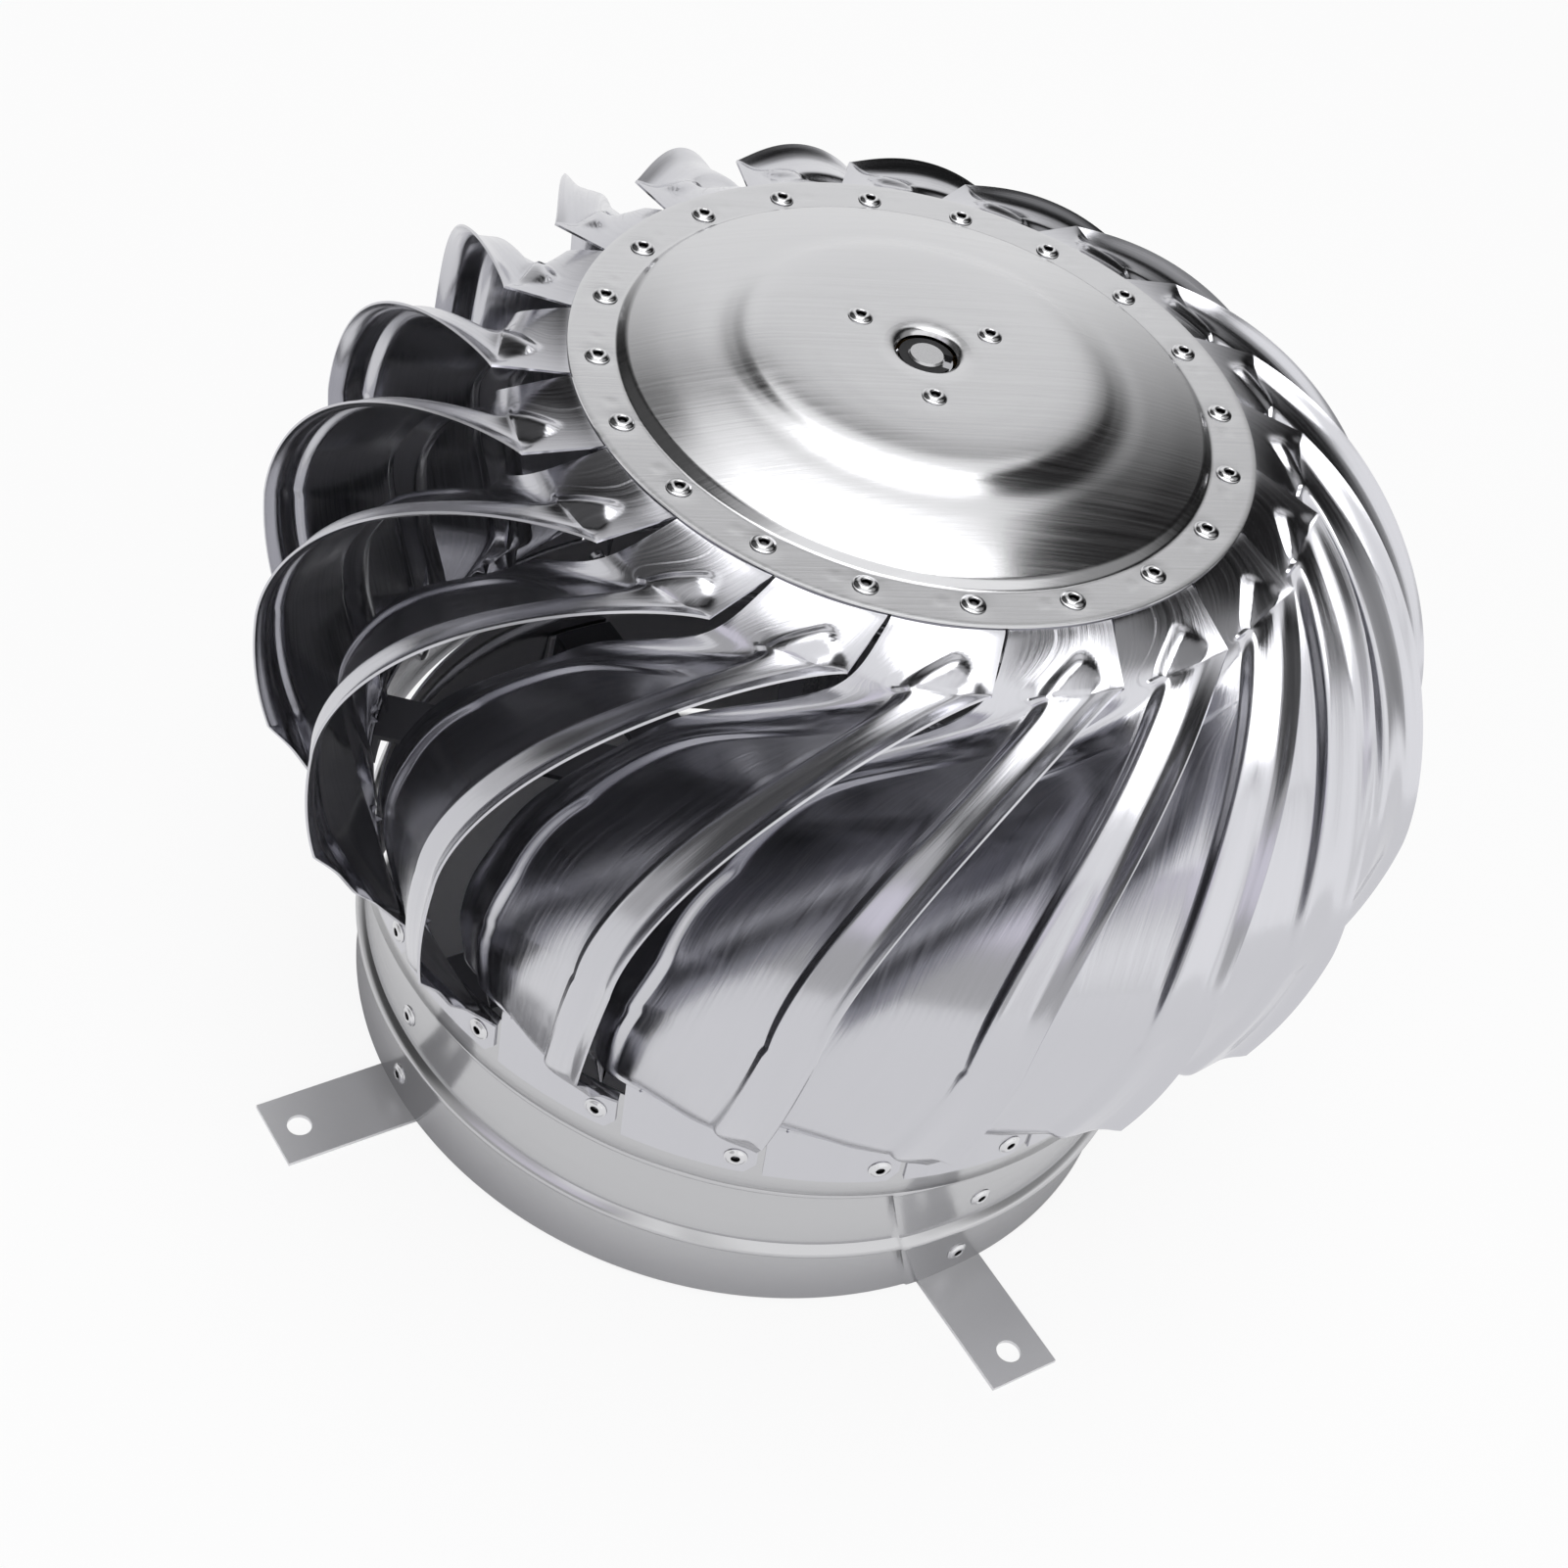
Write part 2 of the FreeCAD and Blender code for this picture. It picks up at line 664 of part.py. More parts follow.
def outward(radius, height, azimuth):
    """Place for a rivet whose head points away from the axis."""
    turn = Rotation(AXIS, azimuth)
    return Placement(turn.multVec(Vector(radius, 0, height)), turn * Rotation(Vector(0, 1, 0), 90))


def rivets():
    slack = dim.slip_fit.number / 2
    feet = [dim.foot_azimuth.number + 90 * count for count in range(4)]
    leg_grip = dim.neck_r.number - leg_in.number + slack
    bar_grip = dim.neck_r.number - bar_out.number + dim.bar_sheet.number + slack
    ring_seat = dim.neck_r.number + slack
    rivet_group("bracket_rivets_low", leg_grip + slack,
                [outward(ring_seat, dim.foot_rivet_low_z.number, turn) for turn in feet])
    rivet_group("bracket_rivets_high", bar_grip + slack,
                [outward(ring_seat, dim.foot_rivet_high_z.number, turn) for turn in feet])
    around = [dim.vane_azimuth.number + pitch_angle * count for count in range(vane_total)]
    cap_grip = dim.cap_sheet.number + dim.vane_sheet.number + slack * 4
    rivet_group("cap_rivets", cap_grip,
                [upright(dim.vane_rivet_r.number, dim.cap_flange_z.number + slack, turn) for turn in around])
    foot_seat = skirt_r.number + dim.vane_sheet.number + slack * 5
    foot_grip = foot_seat - skirt_in.number + dim.spider_sheet.number + slack * 4
    foot_height = dim.vane_foot_z.number
    rivet_group("skirt_rivets", foot_grip,
                [outward(foot_seat, foot_height, turn - dim.vane_foot_sweep.number) for turn in around])
    hub = [dim.hub_azimuth.number + 120 * count for count in range(3)]
    hub_r = dim.hub_rivet_r.number
    rivet_group("upper_hub_rivets", dim.cap_sheet.number + dim.hub_flange.number + slack * 2,
                [upright(hub_r, dim.cap_top_z.number + slack, turn) for turn in hub])
    rivet_group("lower_hub_rivets", dim.spider_sheet.number + dim.hub_flange.number + slack * 2,
                [upright(hub_r, dim.spider_top_z.number + slack, turn) for turn in hub])


# Shape of a vane's broad face, measured in the photograph: (radius, sweep, height), the sweep being the
# angle back from the vane's own top rivet. The outer line is the vane's edge. The inner line is the foot of
# its inner bead, a smooth curve through six places, and the sheet runs on beyond it.
OUTER_TOP = (135.4, 0.6, 287.4)        # top fold, outer end
OUTER_BELLY_SWEEP = -29.1
OUTER_END = (193.7, -30.7, 141.7)      # lower outer corner
INNER_LINE = ((133.4, -16.5, 279.2), (131.3, -32.9, 242.2), (155.6, -42.1, 215.3),
              (170.0, -45.3, 186.2), (169.7, -47.4, 154.2), (160.8, -48.3, 118.7))
FOLD_RIGHT = (-29.0, 95.5)             # sweep, height of the foot's fold on the skirt ring
FOLD_LEFT = (-46.6, 109.0)
FOOT_RIGHT = (-28.7, 80.9)
FOOT_LEFT = (-45.6, 80.9)


def rounded(angle, squareness):
    """Across and up along a quarter of a superellipse, angle in degrees up from the belly."""
    across = math.cos(math.radians(angle)) ** (2 / squareness)
    up = math.sin(math.radians(angle)) ** (2 / squareness)
    return across, up


def outer_line(along):
    """Point on the outer edge, from the top fold at 0 to the lower corner at 1."""
    low_angle = 28.4
    belly_z = dim.belly_z.number
    top_r, top_sweep, top_z = OUTER_TOP
    angle = 90 - (90 + low_angle) * along
    if angle >= 0:
        across, up = rounded(angle, 1.724)
        height = belly_z + (top_z - belly_z) * up
        sweep = OUTER_BELLY_SWEEP + (top_sweep - OUTER_BELLY_SWEEP) * (angle / 90) ** 2
    else:
        across, up = rounded(-angle, 1.886)
        height = belly_z - (belly_z - OUTER_END[2]) * up / rounded(low_angle, 1.886)[1]
        sweep = OUTER_BELLY_SWEEP - (OUTER_END[1] - OUTER_BELLY_SWEEP) * angle / low_angle
    return top_r + (dim.belly_r.number - top_r) * across, sweep, height


def inner_line(along):
    """Point on the inner bead's foot, from the top fold at 0 to the vane's foot at 1."""
    spans = len(INNER_LINE) - 1
    first = min(int(along * spans), spans - 1)
    part = along * spans - first
    start, end = INNER_LINE[first], INNER_LINE[first + 1]
    before = INNER_LINE[first - 1] if first else [2 * a - b for a, b in zip(start, end)]
    after = INNER_LINE[first + 2] if first + 2 <= spans else [2 * b - a for a, b in zip(start, end)]
    place = []
    for a, b, c, d in zip(before, start, end, after):
        bend = (2 * a - 5 * b + 4 * c - d) * part ** 2 + (3 * b - a - 3 * c + d) * part ** 3
        place.append(b + ((c - a) * part + bend) / 2)
    return place


def at(radius, sweep, height):
    """Point from radius, angle and height."""
    angle = math.radians(sweep)
    return Vector(radius * math.cos(angle), radius * math.sin(angle), height)


def band(middles, normals, half):
    """Closed polygon round a line of points thickened by half on each side."""
    front = [point + normal * half for point, normal in zip(middles, normals)]
    back = [point - normal * half for point, normal in zip(middles, normals)]
    return Part.makePolygon(front + back[::-1] + front[:1])


def strip_rows():
    """The vane's straight cross lines from under the cap to its lower corner, with the beads' share in each."""
    tab_z = dim.cap_flange_z.number - dim.cap_sheet.number - dim.vane_sheet.number / 2 - dim.slip_fit.number / 2
    right = dim.vane_tab_half.number - dim.vane_tab_back.number
    left = -dim.vane_tab_half.number - dim.vane_tab_back.number
    rows = [(at(dim.vane_tab_r.number, right, tab_z), at(dim.vane_tab_r.number, left, tab_z), 0),
            (at(dim.cap_r.number, right, tab_z), at(dim.cap_r.number, left, tab_z), 0),
            (at(*OUTER_TOP), at(*INNER_LINE[0]), 0)]
    steps = 14
    bead_start = 0.015
    widen_until = 0.08
    beside = dim.vane_bead_edge.number + dim.vane_bead_wide.number
    for step in range(steps + 1):
        along = max(bead_start, step / steps)
        outer = at(*outer_line(along))
        inner = at(*inner_line(along))
        beyond = beside * min(1, along / widen_until)
        rows.append((outer, inner + (inner - outer).normalize() * beyond, 1))
    return rows


def bead_stops(length, outer_slant, inner_slant):
    """Places across the strip where its two beads start and end, with their shares of the bead's height.

    A bead's width is square to its edge, so it is longer across a strip that crosses the edge at a slant.
    """
    edge = dim.vane_bead_edge.number
    slope = dim.vane_bead_slope.number
    wide = dim.vane_bead_wide.number
    half = [(0, 0), (edge, 0), (edge + slope, 1), (edge + wide - slope, 1), (edge + wide, 0)]
    left = [(stop / outer_slant, share) for stop, share in half]
    room = length - left[-1][0] - 1
    stretch = min(1 / inner_slant, room / (edge + wide))
    return left + [(length - stop * stretch, share) for stop, share in reversed(half)]


def slant(across, before, after):
    """Sine of the angle between a cross line and the edge that runs past it."""
    return across.cross(after - before).Length / (after - before).Length


def vane_strip():
    """The long curved strip with its top tab and its two beads."""
    high = dim.vane_bead_high.number
    rows = strip_rows()
    last = len(rows) - 1
    tab_rows = 2
    wires = []
    for index, (outer, inner, bead) in enumerate(rows):
        before = rows[max(index - 1, 0)]
        after = rows[min(index + 1, last)]
        run = (after[0] + after[1]) - (before[0] + before[1])
        across = inner - outer
        normal = across.cross(run).normalize()
        if index == 0:
            normal = AXIS
        length = across.Length
        across.normalize()
        slants = (1, 1)
        if index >= tab_rows:
            start = rows[max(index - 1, tab_rows)]
            slants = (slant(across, start[0], after[0]), slant(across, start[1], after[1]))
        middles = [outer + across * stop + normal * high * bead * share for stop, share in bead_stops(length, *slants)]
        wires.append(band(middles, [normal] * len(middles), dim.vane_sheet.number / 2))
    return Part.makeLoft(wires, True, True), rows[-1]


def vane_foot(last_row):
    """Triangle below the strip and the tab that lies on the skirt ring."""
    outer, inner, bead = last_row
    columns = 8
    shares = [count / (columns - 1) for count in range(columns)]
    half = dim.vane_sheet.number / 2
    # The polygon's middles clear the round ring by the slip fit, half a sheet and their own sag.
    step = math.radians(abs(FOLD_LEFT[0] - FOLD_RIGHT[0]) / (columns - 1) / 2)
    radius = (skirt_r.number + dim.slip_fit.number + half) / math.cos(step)
    across = inner - outer
    fold_row = []
    foot_row = []
    for share in shares:
        fold = [a + (b - a) * share for a, b in zip(FOLD_RIGHT, FOLD_LEFT)]
        foot = [a + (b - a) * share for a, b in zip(FOOT_RIGHT, FOOT_LEFT)]
        fold_row.append(at(radius, *fold))
        foot_row.append(at(radius, *foot))
    strip_row = [outer + across * share for share in shares]
    down = (fold_row[0] + fold_row[-1]) / 2 - (outer + inner) / 2
    strip_normal = across.cross(down).normalize()
    outwards = [Vector(point.x, point.y, 0).normalize() for point in foot_row]
    fold_normals = [(strip_normal + side).normalize() for side in outwards]
    wires = [band(strip_row, [strip_normal] * columns, half), band(fold_row, fold_normals, half),
             band(foot_row, outwards, half)]
    return Part.makeLoft(wires, True, True)


def vane_shape():
    strip, last_row = vane_strip()
    solid = strip.fuse(vane_foot(last_row))
    drill = hole_r.number
    top_hole = Part.makeCylinder(drill, 20, Vector(dim.vane_rivet_r.number, 0, dim.cap_flange_z.number - 10))
    foot_hole = Part.makeCylinder(drill, 20, Vector(skirt_r.number - 10, 0, dim.vane_foot_z.number),
                                  Vector(1, 0, 0))
    foot_hole.rotate(ORIGIN, AXIS, -dim.vane_foot_sweep.number)
    return solid.cut(top_hole).cut(foot_hole)


def vanes():
    shape = vane_shape()
    for count in range(vane_total):
        vane = doc.addObject("Part::Feature", "Vane")
        vane.Shape = shape
        node(vane, "vane_%02d" % (count + 1), dim.vane_azimuth.number + pitch_angle * count)


neck_ring()
for corner in range(1, 5):
    mounting_bracket(corner)
cross_bar("cross_bar_low", dim.bar_low_z, dim.foot_azimuth.number)
cross_bar("cross_bar_high", bar_high_z, dim.foot_azimuth.number + 90)
shaft()
shaft_fasteners()
spacers()
ball_bearing("lower", low_race_low)
ball_bearing("upper", high_race_low)
bearing_housing("upper_housing", cap_under)
bearing_housing("lower_housing", low_flange_top)
retaining_rings()
top_cap()
skirt_ring()
spider()
vanes()
rivets()

doc.recompute()
for thing in doc.Objects:
    bad = [state for state in thing.State if state in ("Invalid", "Error")]
    if bad:
        raise RuntimeError("%s: %s" % (thing.Name, bad))
for thing in NODES:
    if thing.Shape.isNull() or not thing.Shape.isValid():
        raise RuntimeError(thing.Label + " has no valid shape")

os.makedirs("parts", exist_ok=True)
for thing in NODES:
    thing.Shape.exportStep("parts/%s.step" % thing.Label)
    print("%-22s solids %2d  volume %.0f" % (thing.Label, len(thing.Shape.Solids), thing.Shape.Volume))
print(len(NODES), "nodes")
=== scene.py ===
import math

import bmesh
import bpy
from mathutils import Matrix, Vector

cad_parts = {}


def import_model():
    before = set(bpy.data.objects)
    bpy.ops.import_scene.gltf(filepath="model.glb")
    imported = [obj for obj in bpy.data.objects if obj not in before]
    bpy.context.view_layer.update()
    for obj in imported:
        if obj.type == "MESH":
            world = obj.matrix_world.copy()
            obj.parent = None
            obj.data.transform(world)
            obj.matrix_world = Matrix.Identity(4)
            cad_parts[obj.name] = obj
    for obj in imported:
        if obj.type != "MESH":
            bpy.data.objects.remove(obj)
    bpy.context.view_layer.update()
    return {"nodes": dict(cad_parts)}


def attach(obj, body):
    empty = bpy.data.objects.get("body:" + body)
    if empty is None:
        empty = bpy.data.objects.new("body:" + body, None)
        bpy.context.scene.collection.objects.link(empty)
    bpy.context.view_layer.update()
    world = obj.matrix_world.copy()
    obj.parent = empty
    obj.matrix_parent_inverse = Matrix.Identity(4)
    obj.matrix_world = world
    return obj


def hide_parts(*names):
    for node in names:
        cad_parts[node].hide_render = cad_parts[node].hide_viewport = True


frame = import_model()
NODES = frame["nodes"]
MM = 0.001

# Places that repeat the model's own named values, in millimetres and degrees.
VANE_COUNT = 20
VANE_AZIMUTH = 2.33
VANE_SHEET = 0.8
VANE_TAB_R = 98.0
VANE_TAB_HALF = 8.75
VANE_TAB_BACK = 4.35
VANE_RIVET_R = 103.2
FOOT_SWEEP = 31.4
FOOT_RIVET_Z = 88.2
CAP_R = 112.5
CAP_SHEET = 0.8
CAP_FLANGE_Z = 293.7
CAP_TOP_Z = 308.2
CAP_HOLE_R = 10.0
HUB_RIVET_R = 24.5
HUB_AZIMUTH = 45.4
SKIRT_R = 155.6
SKIRT_WALL = 1.0
NECK_R = 150.0
NECK_WALL = 1.0
BELLY_R = 202.0             # a little under the model's, whose straight cross lines cut the curve short
BELLY_Z = 196.0
PITCH = 360.0 / VANE_COUNT


# Small helpers

def srgb(code):
    """Hex colour to the linear values that shaders take."""
    parts = [int(code[i:i + 2], 16) / 255 for i in (1, 3, 5)]
    linear = [c / 12.92 if c <= 0.04045 else ((c + 0.055) / 1.055) ** 2.4 for c in parts]
    return (*linear, 1.0)


def add(tree, kind, settings=None, **links):
    """Adds a node, sets its properties, and links or sets its inputs by name or number."""
    made = tree.nodes.new(kind)
    for key, value in (settings or {}).items():
        setattr(made, key, value)
    for key, value in links.items():
        numbered = key.startswith("in") and key[2:].isdigit()
        socket = made.inputs[int(key[2:])] if numbered else made.inputs[key.replace("_", " ")]
        if isinstance(value, bpy.types.NodeSocket):
            tree.links.new(value, socket)
        else:
            socket.default_value = value
    return made


def new_material(name, colour, metallic, roughness):
    """Principled material with even values on its own sockets."""
    made = bpy.data.materials.new(name)
    made.use_nodes = True
    tree = made.node_tree
    shader = tree.nodes["Principled BSDF"]
    shader.inputs["Base Color"].default_value = srgb(colour)
    shader.inputs["Metallic"].default_value = metallic
    shader.inputs["Roughness"].default_value = roughness
    return made, tree, shader


def polar(radius, degrees, height):
    """Point in metres from a radius and height in millimetres and an angle."""
    turn = math.radians(degrees)
    return Vector((radius * math.cos(turn), radius * math.sin(turn), height)) * MM


def finish_mesh(name, body, mesh, material, sharp=40):
    """Puts a finished mesh in the scene, smooth but for its real edges, and lets it ride on a body."""
    mesh.materials.clear()
    mesh.materials.append(material)
    mesh.shade_smooth()
    mesh.set_sharp_from_angle(angle=math.radians(sharp))
    thing = bpy.data.objects.new(name, mesh)
    bpy.context.scene.collection.objects.link(thing)
    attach(thing, body)
    return thing


def lathe(name, outline, angles, shape_at=None):
    """Closed outline of (radius, height) in millimetres, turned about the axis through the given angles."""
    shape = bmesh.new()
    rings = []
    for angle in angles:
        places = [(r, angle, z) for r, z in outline]
        if shape_at:
            places = [shape_at(*place) for place in places]
        rings.append([shape.verts.new(polar(*place)) for place in places])
    for step, here in enumerate(rings):
        there = rings[(step + 1) % len(rings)]
        for index in range(len(outline)):
            after = (index + 1) % len(outline)
            shape.faces.new((here[index], there[index], there[after], here[after]))
    bmesh.ops.remove_doubles(shape, verts=shape.verts, dist=1e-7)
    bmesh.ops.recalc_face_normals(shape, faces=shape.faces)
    mesh = bpy.data.meshes.new(name)
    shape.to_mesh(mesh)
    shape.free()
    return mesh


def evenly(count):
    return [360 * step / count for step in range(count)]


def lay_grain(mesh, across_and_along):
    """UV map with u across the polishing lines and v along them, in metres."""
    layer = mesh.uv_layers.new(name="grain")
    for loop in mesh.loops:
        layer.data[loop.index].uv = across_and_along(mesh.vertices[loop.vertex_index].co)


def round_grain(point):
    """Lines that run round a ring."""
    radius = math.hypot(point.x, point.y)
    return point.z + radius, abs(math.atan2(point.y, point.x)) * 0.15


def straight_grain(point):
    """Lines that run straight across a sheet, at 24.6 degrees from +X."""
    turn = math.radians(24.6)
    return (point.y * math.cos(turn) - point.x * math.sin(turn),
            point.x * math.cos(turn) + point.y * math.sin(turn))


def thicken(line, wall):
    """Outline of a sheet: the outer line and the same line moved in by the wall, square to itself."""
    inner = []
    for index, (r, z) in enumerate(line):
        before = line[max(index - 1, 0)]
        after = line[min(index + 1, len(line) - 1)]
        run = Vector((after[0] - before[0], after[1] - before[1])).normalized()
        inner.append((r + run.y * wall, z - run.x * wall))
    return line + inner[::-1]


def smooth_line(points, steps):
    """Round curve through a few points."""
    made = []
    last = len(points) - 1
    for index in range(last):
        p0, p1 = points[max(index - 1, 0)], points[index]
        p2, p3 = points[index + 1], points[min(index + 2, last)]
        for step in range(steps):
            t = step / steps
            made.append(tuple(0.5 * (2 * b + (c - a) * t + (2 * a - 5 * b + 4 * c - d) * t * t
                                     + (3 * b - a - 3 * c + d) * t ** 3)
                              for a, b, c, d in zip(p0, p1, p2, p3)))
    made.append(tuple(points[-1]))
    return made


# Materials

def grained(tree, shader, line_mm, depth, smooth, rough, swell_mm=0.0, swell_wide=60.0):
    """Polishing lines along the grain map, and a slow wave of the sheet that bends what it mirrors."""
    grain = add(tree, "ShaderNodeUVMap", {"uv_map": "grain"})
    lined = add(tree, "ShaderNodeMapping", Vector=grain.outputs[0], Scale=(1000 / line_mm, 12.0, 1.0))
    lines = add(tree, "ShaderNodeTexNoise", Vector=lined.outputs[0], Scale=1.0, Detail=4.0, Roughness=0.65)
    spread = add(tree, "ShaderNodeMapRange", Value=lines.outputs[0], From_Min=0.3, From_Max=0.7,
                 To_Min=smooth, To_Max=rough)
    tree.links.new(spread.outputs[0], shader.inputs["Roughness"])
    bump = add(tree, "ShaderNodeBump", Height=lines.outputs[0], Strength=depth, Distance=0.0002)
    if swell_mm:
        place = add(tree, "ShaderNodeTexCoord")
        slow = add(tree, "ShaderNodeTexNoise", Vector=place.outputs["Object"], Scale=1000.0 / swell_wide,
                   Detail=1.0, Roughness=0.4)
        swell = add(tree, "ShaderNodeBump", Height=slow.outputs[0], Strength=1.0, Distance=swell_mm * MM)
        tree.links.new(swell.outputs[0], bump.inputs["Normal"])
    tree.links.new(bump.outputs[0], shader.inputs["Normal"])
    across = add(tree, "ShaderNodeTangent", {"direction_type": "UV_MAP", "uv_map": "grain"})
    tree.links.new(across.outputs[0], shader.inputs["Tangent"])


def speckled(tree, shader, grain_mm, depth, smooth, rough):
    """Even fine grain of a surface that was rolled, ground or dipped."""
    place = add(tree, "ShaderNodeTexCoord")
    grain = add(tree, "ShaderNodeTexNoise", Vector=place.outputs["Object"], Scale=1000 / grain_mm,
                Detail=3.0, Roughness=0.6)
    spread = add(tree, "ShaderNodeMapRange", Value=grain.outputs[0], From_Min=0.3, From_Max=0.7,
                 To_Min=smooth, To_Max=rough)
    tree.links.new(spread.outputs[0], shader.inputs["Roughness"])
    bump = add(tree, "ShaderNodeBump", Height=grain.outputs[0], Strength=depth, Distance=0.0001)
    tree.links.new(bump.outputs[0], shader.inputs["Normal"])


def bright_sheet_rolled():
    """Bright-annealed stainless sheet rolled into a ring: near mirror, the belt's lines run round it."""
    made, tree, shader = new_material("bright_stainless_ring", "#C4C4C6", 1.0, 0.18)
    shader.inputs["Anisotropic"].default_value = 0.5
    grained(tree, shader, 0.9, 0.12, 0.12, 0.24, 0.35, 90.0)
    return made


def bright_sheet_pressed():
    """Bright-annealed stainless sheet pressed into the cap: near mirror, hazy along its straight grain."""
    made, tree, shader = new_material("bright_stainless_cap", "#D4D4D6", 1.0, 0.18)
    shader.inputs["Anisotropic"].default_value = 0.6
    grained(tree, shader, 1.2, 0.14, 0.14, 0.24, 0.20, 70.0)
    return made


def bright_strip():
    """Bright-annealed stainless strip: mirror-like, fine lines along the vane, a little wavy."""
    made, tree, shader = new_material("bright_stainless_vane", "#CCCCD1", 1.0, 0.18)
    shader.inputs["Anisotropic"].default_value = 0.45
    grained(tree, shader, 1.6, 0.22, 0.13, 0.26, 0.20, 60.0)
    return made


def satin_strip():
    """Cold-rolled stainless strip: pale satin grey, an even fine grain."""
    made, tree, shader = new_material("satin_stainless_strip", "#E0E0E2", 0.65, 0.42)
    speckled(tree, shader, 0.8, 0.05, 0.36, 0.48)
    return made


def inner_strip():
    """Mill-finish stainless strip inside the rotor: dull and never polished, its grey darkened as painted
    shade, since these parts sit in the rotor's shadow.
    """
    made, tree, shader = new_material("mill_finish_strip_painted_shade", "#6A6A6D", 1.0, 0.42)
    speckled(tree, shader, 1.1, 0.05, 0.36, 0.5)
    return made


def rivet_metal():
    """Drawn stainless of the pop rivets: bright, with painted shade, near black, over the rim, walls and
    floor of the eye.
    """
    made, tree, shader = new_material("drawn_stainless_rivet", "#DADADC", 1.0, 0.16)
    speckled(tree, shader, 0.7, 0.06, 0.11, 0.22)
    # Painted shade: the eye left by the mandrel is coloured near black, standing in for the shade inside the
    # hole.
    eye = add(tree, "ShaderNodeAttribute", {"attribute_name": "eye"})
    painted_eye_shade = add(tree, "ShaderNodeMix", {"data_type": "RGBA"}, in0=eye.outputs["Fac"], in6=srgb("#DADADC"),
               in7=srgb("#161617"))
    tree.links.new(painted_eye_shade.outputs[2], shader.inputs["Base Color"])
    return made


def turned_steel():
    """Turned bright steel of the shaft, spacers and nuts: silvery, fine tool marks."""
    made, tree, shader = new_material("turned_bright_steel", "#C4C4C6", 1.0, 0.24)
    speckled(tree, shader, 0.5, 0.08, 0.18, 0.30)
    return made


def ground_steel():
    """Ground and lapped bearing steel: a darker mirror."""
    made, tree, shader = new_material("ground_bearing_steel", "#B4B4B8", 1.0, 0.10)
    speckled(tree, shader, 0.6, 0.02, 0.07, 0.14)
    return made


def turned_brass():
    """Turned brass of the bearing cages: warm yellow, a dull sheen."""
    made, tree, shader = new_material("turned_brass_cage", "#B8924E", 1.0, 0.28)
    speckled(tree, shader, 0.6, 0.08, 0.22, 0.34)
    return made


def phosphated_steel():
    """Phosphated spring steel of the retaining rings: black and dull."""
    made, tree, shader = new_material("phosphated_spring_steel", "#2B2B2D", 0.6, 0.5)
    speckled(tree, shader, 0.4, 0.15, 0.42, 0.58)
    return made


RING = bright_sheet_rolled()
CAP = bright_sheet_pressed()
VANE = bright_strip()
STRIP = satin_strip()
INNER = inner_strip()
RIVET = rivet_metal()
TURNED = turned_steel()
GROUND = ground_steel()
BRASS = turned_brass()
SPRING = phosphated_steel()


# Vanes

OUTER_TOP = (135.4, 0.6, 287.4)
OUTER_BELLY_SWEEP = -29.1
OUTER_END = (193.7, -30.7, 141.7)
INNER_LINE = ((133.4, -16.5, 279.2), (131.3, -32.9, 242.2), (155.6, -42.1, 215.3),
              (170.0, -45.3, 186.2), (169.7, -47.4, 154.2), (160.8, -48.3, 118.7))
FOLD_RIGHT = (-29.0, 95.5)
FOLD_LEFT = (-46.6, 109.0)
FOOT_RIGHT = (-28.7, 80.9)
FOOT_LEFT = (-45.6, 80.9)
BEAD_HIGH = 2.4


def rounded(angle, squareness):
    """Across and up along a quarter of a superellipse, angle in degrees up from the belly."""
    across = math.cos(math.radians(angle)) ** (2 / squareness)
    up = math.sin(math.radians(angle)) ** (2 / squareness)
    return across, up


def outer_line(along):
    """Point on a vane's outer edge, from the top fold at 0 to the lower corner at 1."""
    low_angle = 28.4
    top_r, top_sweep, top_z = OUTER_TOP
    angle = 90 - (90 + low_angle) * along
    if angle >= 0:
        across, up = rounded(angle, 1.724)
        height = BELLY_Z + (top_z - BELLY_Z) * up
        sweep = OUTER_BELLY_SWEEP + (top_sweep - OUTER_BELLY_SWEEP) * (angle / 90) ** 2
    else:
        across, up = rounded(-angle, 1.886)
        height = BELLY_Z - (BELLY_Z - OUTER_END[2]) * up / rounded(low_angle, 1.886)[1]
        sweep = OUTER_BELLY_SWEEP - (OUTER_END[1] - OUTER_BELLY_SWEEP) * angle / low_angle
    return top_r + (BELLY_R - top_r) * across, sweep, height


def inner_line(along):
    """Point on the inner bead's foot, from the top fold at 0 to the vane's foot at 1."""
    spans = len(INNER_LINE) - 1
    first = min(int(along * spans), spans - 1)
    part = along * spans - first
    start, end = INNER_LINE[first], INNER_LINE[first + 1]
    before = INNER_LINE[first - 1] if first else [2 * a - b for a, b in zip(start, end)]
    after = INNER_LINE[first + 2] if first + 2 <= spans else [2 * b - a for a, b in zip(start, end)]
    place = []
    for a, b, c, d in zip(before, start, end, after):
        bend = (2 * a - 5 * b + 4 * c - d) * part ** 2 + (3 * b - a - 3 * c + d) * part ** 3
        place.append(b + ((c - a) * part + bend) / 2)
    return place


def ease(value):
    """Smooth step from 0 to 1."""
    value = min(1.0, max(0.0, value))
    return value * value * (3 - 2 * value)


# Section of a bead from the sheet's edge inwards: (place, height as a share). The sheet dips beside its
# edge, rises in a long slope and falls short and steep to the vane's face.
BEAD_SECTION = ((0.0, 0.0), (1.5, -0.08), (3.2, -0.26), (4.8, -0.34), (6.5, -0.30), (9.0, 0.05),
                (11.5, 0.46), (13.6, 0.76), (14.6, 0.80), (15.5, 0.66), (16.8, 0.28), (17.8, 0.06),
                (18.5, 0.0))
BEAD_LINE = smooth_line(BEAD_SECTION, 2)
BEAD_END_SLOPE = 3.2        # length over which the outer bead rises at its squared end
FAR = 99.0                  # stands for a place that is on neither bead
FACE_STEPS = 12


def bead_rise(place):
    """Height of a bead, as a share, at a distance from the edge."""
    for (start, low), (end, high) in zip(BEAD_LINE, BEAD_LINE[1:]):
        if start <= place <= end:
            return low + (high - low) * (place - start) / (end - start)
    return 0.0


